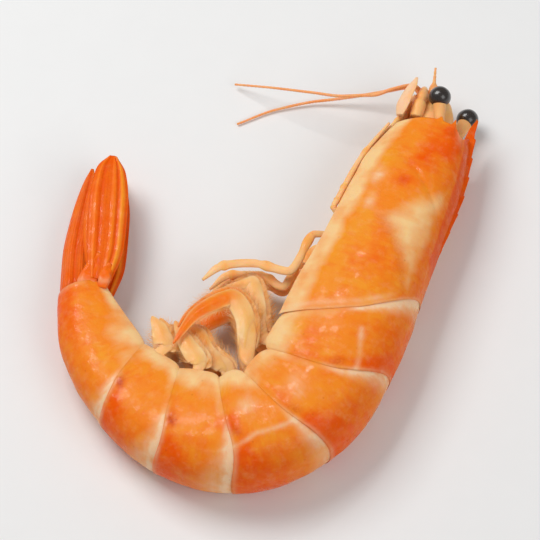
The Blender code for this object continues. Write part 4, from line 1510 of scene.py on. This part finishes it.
def make_fan():
    """The closed tail fan: a pointed middle piece with two blades on each side, laid like a roof, and
    the lumps at their roots."""
    make_fan_piece("telson", outline(fan_point, TELSON_FORM), 0.0, TELSON_HUMPS, 0.14)
    for side, sign in SIDES:
        tilt = sign * FAN_TILT
        inner = outline(fan_point, INNER_BLADE_FORM, sign)
        outer = outline(fan_point, OUTER_BLADE_FORM, sign)
        make_fan_piece(f"fan_inner_{side}", inner, tilt, INNER_HUMPS, 0.025)
        make_fan_piece(f"fan_outer_{side}", outer, tilt, OUTER_HUMPS, 0.025)
        for number, form in enumerate(KNUCKLE_FORMS):
            rows, share, _ = sweep(outline(fan_point, form, sign), 48, 32, tilt=tilt)
            rows = rows + KNUCKLE_UNEVENNESS * wobble(rows, KNUCKLE_LUMP_SIZE, number)[..., None]
            # The pearly band across each knuckle is a painted glint.
            grid = tube_grid(rows, plain_fields(deep=0.75, amber=0.4, pearl=0.35 * bump(share, 0.3, 0.12)))
            make_piece(f"fan_knuckle_{number}_{side}", grid, "fan_shell", [])


def make_fan_piece(name, points, tilt, humps, paleness):
    """One piece of the fan. Its grooves are darkened with painted shade and its ridges lightened with painted
    highlight; one ridge is amber.
    """
    def levels(share, angle):
        across = np.cos(angle)
        # The relief paints shade into the grooves and highlight onto the ridges, the fine ridges too.
        relief = sum(rise * bump(across, place, width) for place, width, rise in humps)
        return {
            "pale": np.clip(paleness + 0.10 * relief, 0, 1),
            "deep": np.clip(0.78 - 0.9 * relief - 0.3 * bump(across, AMBER_RIDGE, 0.16), 0, 1),
            "amber": 0.25 + 0.6 * bump(across, AMBER_RIDGE, 0.18),
            "mark": np.clip(0.24 - 0.8 * relief + 0.12 * np.sin(across * FINE_RIDGES), 0, 0.7),
            "station": across * 3.6,
            "around": share * 0.7,
        }

    make_swept(
        f"{name}_blade", points, (160, 96), "fan_shell", levels, nodes=[name], tilt=tilt,
        section=blade_relief(humps),
    )


# The stage.


def look_from(location, target, base):
    """The turn of a camera that starts along the photograph's axes and is aimed at a target."""
    aim = (target - location).normalized()
    forward = base @ Vector((0, 0, -1))
    return forward.rotation_difference(aim) @ base


def make_camera():
    """The camera stands where the photograph was taken from and looks at the prawn."""
    back = Vector((0, -math.cos(CAMERA_ELEVATION), math.sin(CAMERA_ELEVATION)))
    up = Vector((0, math.sin(CAMERA_ELEVATION), math.cos(CAMERA_ELEVATION)))
    right = Vector((1, 0, 0))
    x, y, _ = spine_at(AIM_STATION)
    anchor = Vector((x + SHIFT[0], y + SHIFT[1], AIM_HEIGHT))
    location = anchor + back * CAMERA_DISTANCE + right * CAMERA_ASIDE + up * CAMERA_ABOVE
    base = Matrix((right, up, back)).transposed().to_quaternion()
    low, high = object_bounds()
    target = (Vector(low) + Vector(high)) / 2
    data = bpy.data.cameras.new("camera")
    data.lens = LENS
    data.sensor_width = 36
    data.clip_start = 0.01
    camera = add_object("camera", data)
    camera.rotation_mode = "QUATERNION"
    camera.location = location
    camera.rotation_quaternion = look_from(location, target, base)
    bpy.context.scene.camera = camera


def add_light(name, place, size, power):
    """A square soft light aimed at the middle of the floor."""
    data = bpy.data.lights.new(name, "AREA")
    data.shape = "SQUARE"
    data.size = size
    data.energy = power
    lamp = add_object(name, data)
    lamp.location = place
    lamp.rotation_mode = "QUATERNION"
    lamp.rotation_quaternion = (-Vector(place)).to_track_quat("-Z", "Y")


def make_floor():
    """A pale floor."""
    finish = Finish("floor_pale")
    finish.paint(finish.mix(finish.noise(6.0), *FLOOR_COLOURS), 0.75)
    half = FLOOR_HALF_WIDTH
    corners = [(-half, -half, 0), (half, -half, 0), (half, half, 0), (-half, half, 0)]
    mesh = bpy.data.meshes.new("floor")
    mesh.from_pydata(corners, [], [(0, 1, 2, 3)])
    mesh.materials.append(finish.material)
    floor = add_object("floor", mesh)
    floor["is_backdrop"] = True


def make_stage():
    """The floor, the lights, the world and the camera. Colours are rendered as they are."""
    make_floor()
    for light in LIGHTS:
        add_light(*light)
    world = bpy.data.worlds.new("world")
    world.use_nodes = True
    background = world.node_tree.nodes["Background"]
    background.inputs["Color"].default_value = (1, 1, 1, 1)
    background.inputs["Strength"].default_value = WORLD_STRENGTH
    bpy.context.scene.world = world
    bpy.context.scene.view_settings.view_transform = "Standard"
    make_camera()


# Operators and the panel.


class PrawnOperator:
    bl_options = {"REGISTER", "UNDO"}

    def execute(self, context):
        self.make()
        return {"FINISHED"}


class PRAWN_OT_shell(PrawnOperator, bpy.types.Operator):
    """Makes the head's shell with its crest, and the six rings"""
    bl_idname = "prawn.shell"
    bl_label = "Shell"

    def make(self):
        make_head_shell()
        make_rostrum()
        for number in range(1, len(JOINTS)):
            make_ring(number)


class PRAWN_OT_meat(PrawnOperator, bpy.types.Operator):
    """Makes the meat inside the shell"""
    bl_idname = "prawn.meat"
    bl_label = "Meat"

    def make(self):
        make_meat()


class PRAWN_OT_head(PrawnOperator, bpy.types.Operator):
    """Makes the front of the head, the eyes and the feelers"""
    bl_idname = "prawn.head"
    bl_label = "Head"

    def make(self):
        make_head_front()
        make_eyes()
        make_feelers()


class PRAWN_OT_limbs(PrawnOperator, bpy.types.Operator):
    """Makes the legs and the swimmerets"""
    bl_idname = "prawn.limbs"
    bl_label = "Limbs"

    def make(self):
        make_legs()
        make_swimmerets()


class PRAWN_OT_fan(PrawnOperator, bpy.types.Operator):
    """Makes the tail fan"""
    bl_idname = "prawn.fan"
    bl_label = "Tail fan"

    def make(self):
        make_fan()


class PRAWN_OT_stage(PrawnOperator, bpy.types.Operator):
    """Makes the floor, the lights and the camera"""
    bl_idname = "prawn.stage"
    bl_label = "Stage"

    def make(self):
        make_stage()


OPERATORS = (
    PRAWN_OT_shell, PRAWN_OT_meat, PRAWN_OT_head, PRAWN_OT_limbs, PRAWN_OT_fan, PRAWN_OT_stage,
)


class PRAWN_PT_panel(bpy.types.Panel):
    bl_idname = "PRAWN_PT_panel"
    bl_label = "Prawn"
    bl_space_type = "VIEW_3D"
    bl_region_type = "UI"
    bl_category = "Prawn"

    def draw(self, context):
        for group in (context.scene.prawn_sizes, context.scene.prawn_colours):
            for name in group.__annotations__:
                self.layout.prop(group, name)
        for operator in OPERATORS:
            self.layout.operator(operator.bl_idname)


CLASSES = (PrawnSizes, PrawnColours) + OPERATORS + (PRAWN_PT_panel,)


def register():
    for made in CLASSES:
        bpy.utils.register_class(made)
    bpy.types.Scene.prawn_sizes = PointerProperty(type=PrawnSizes)
    bpy.types.Scene.prawn_colours = PointerProperty(type=PrawnColours)


def unregister():
    del bpy.types.Scene.prawn_colours
    del bpy.types.Scene.prawn_sizes
    for made in reversed(CLASSES):
        bpy.utils.unregister_class(made)


def main():
    register()
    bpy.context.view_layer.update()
    bpy.ops.prawn.shell()
    bpy.ops.prawn.meat()
    bpy.ops.prawn.head()
    bpy.ops.prawn.limbs()
    bpy.ops.prawn.fan()
    bpy.ops.prawn.stage()


if __name__ == "__main__":
    main()
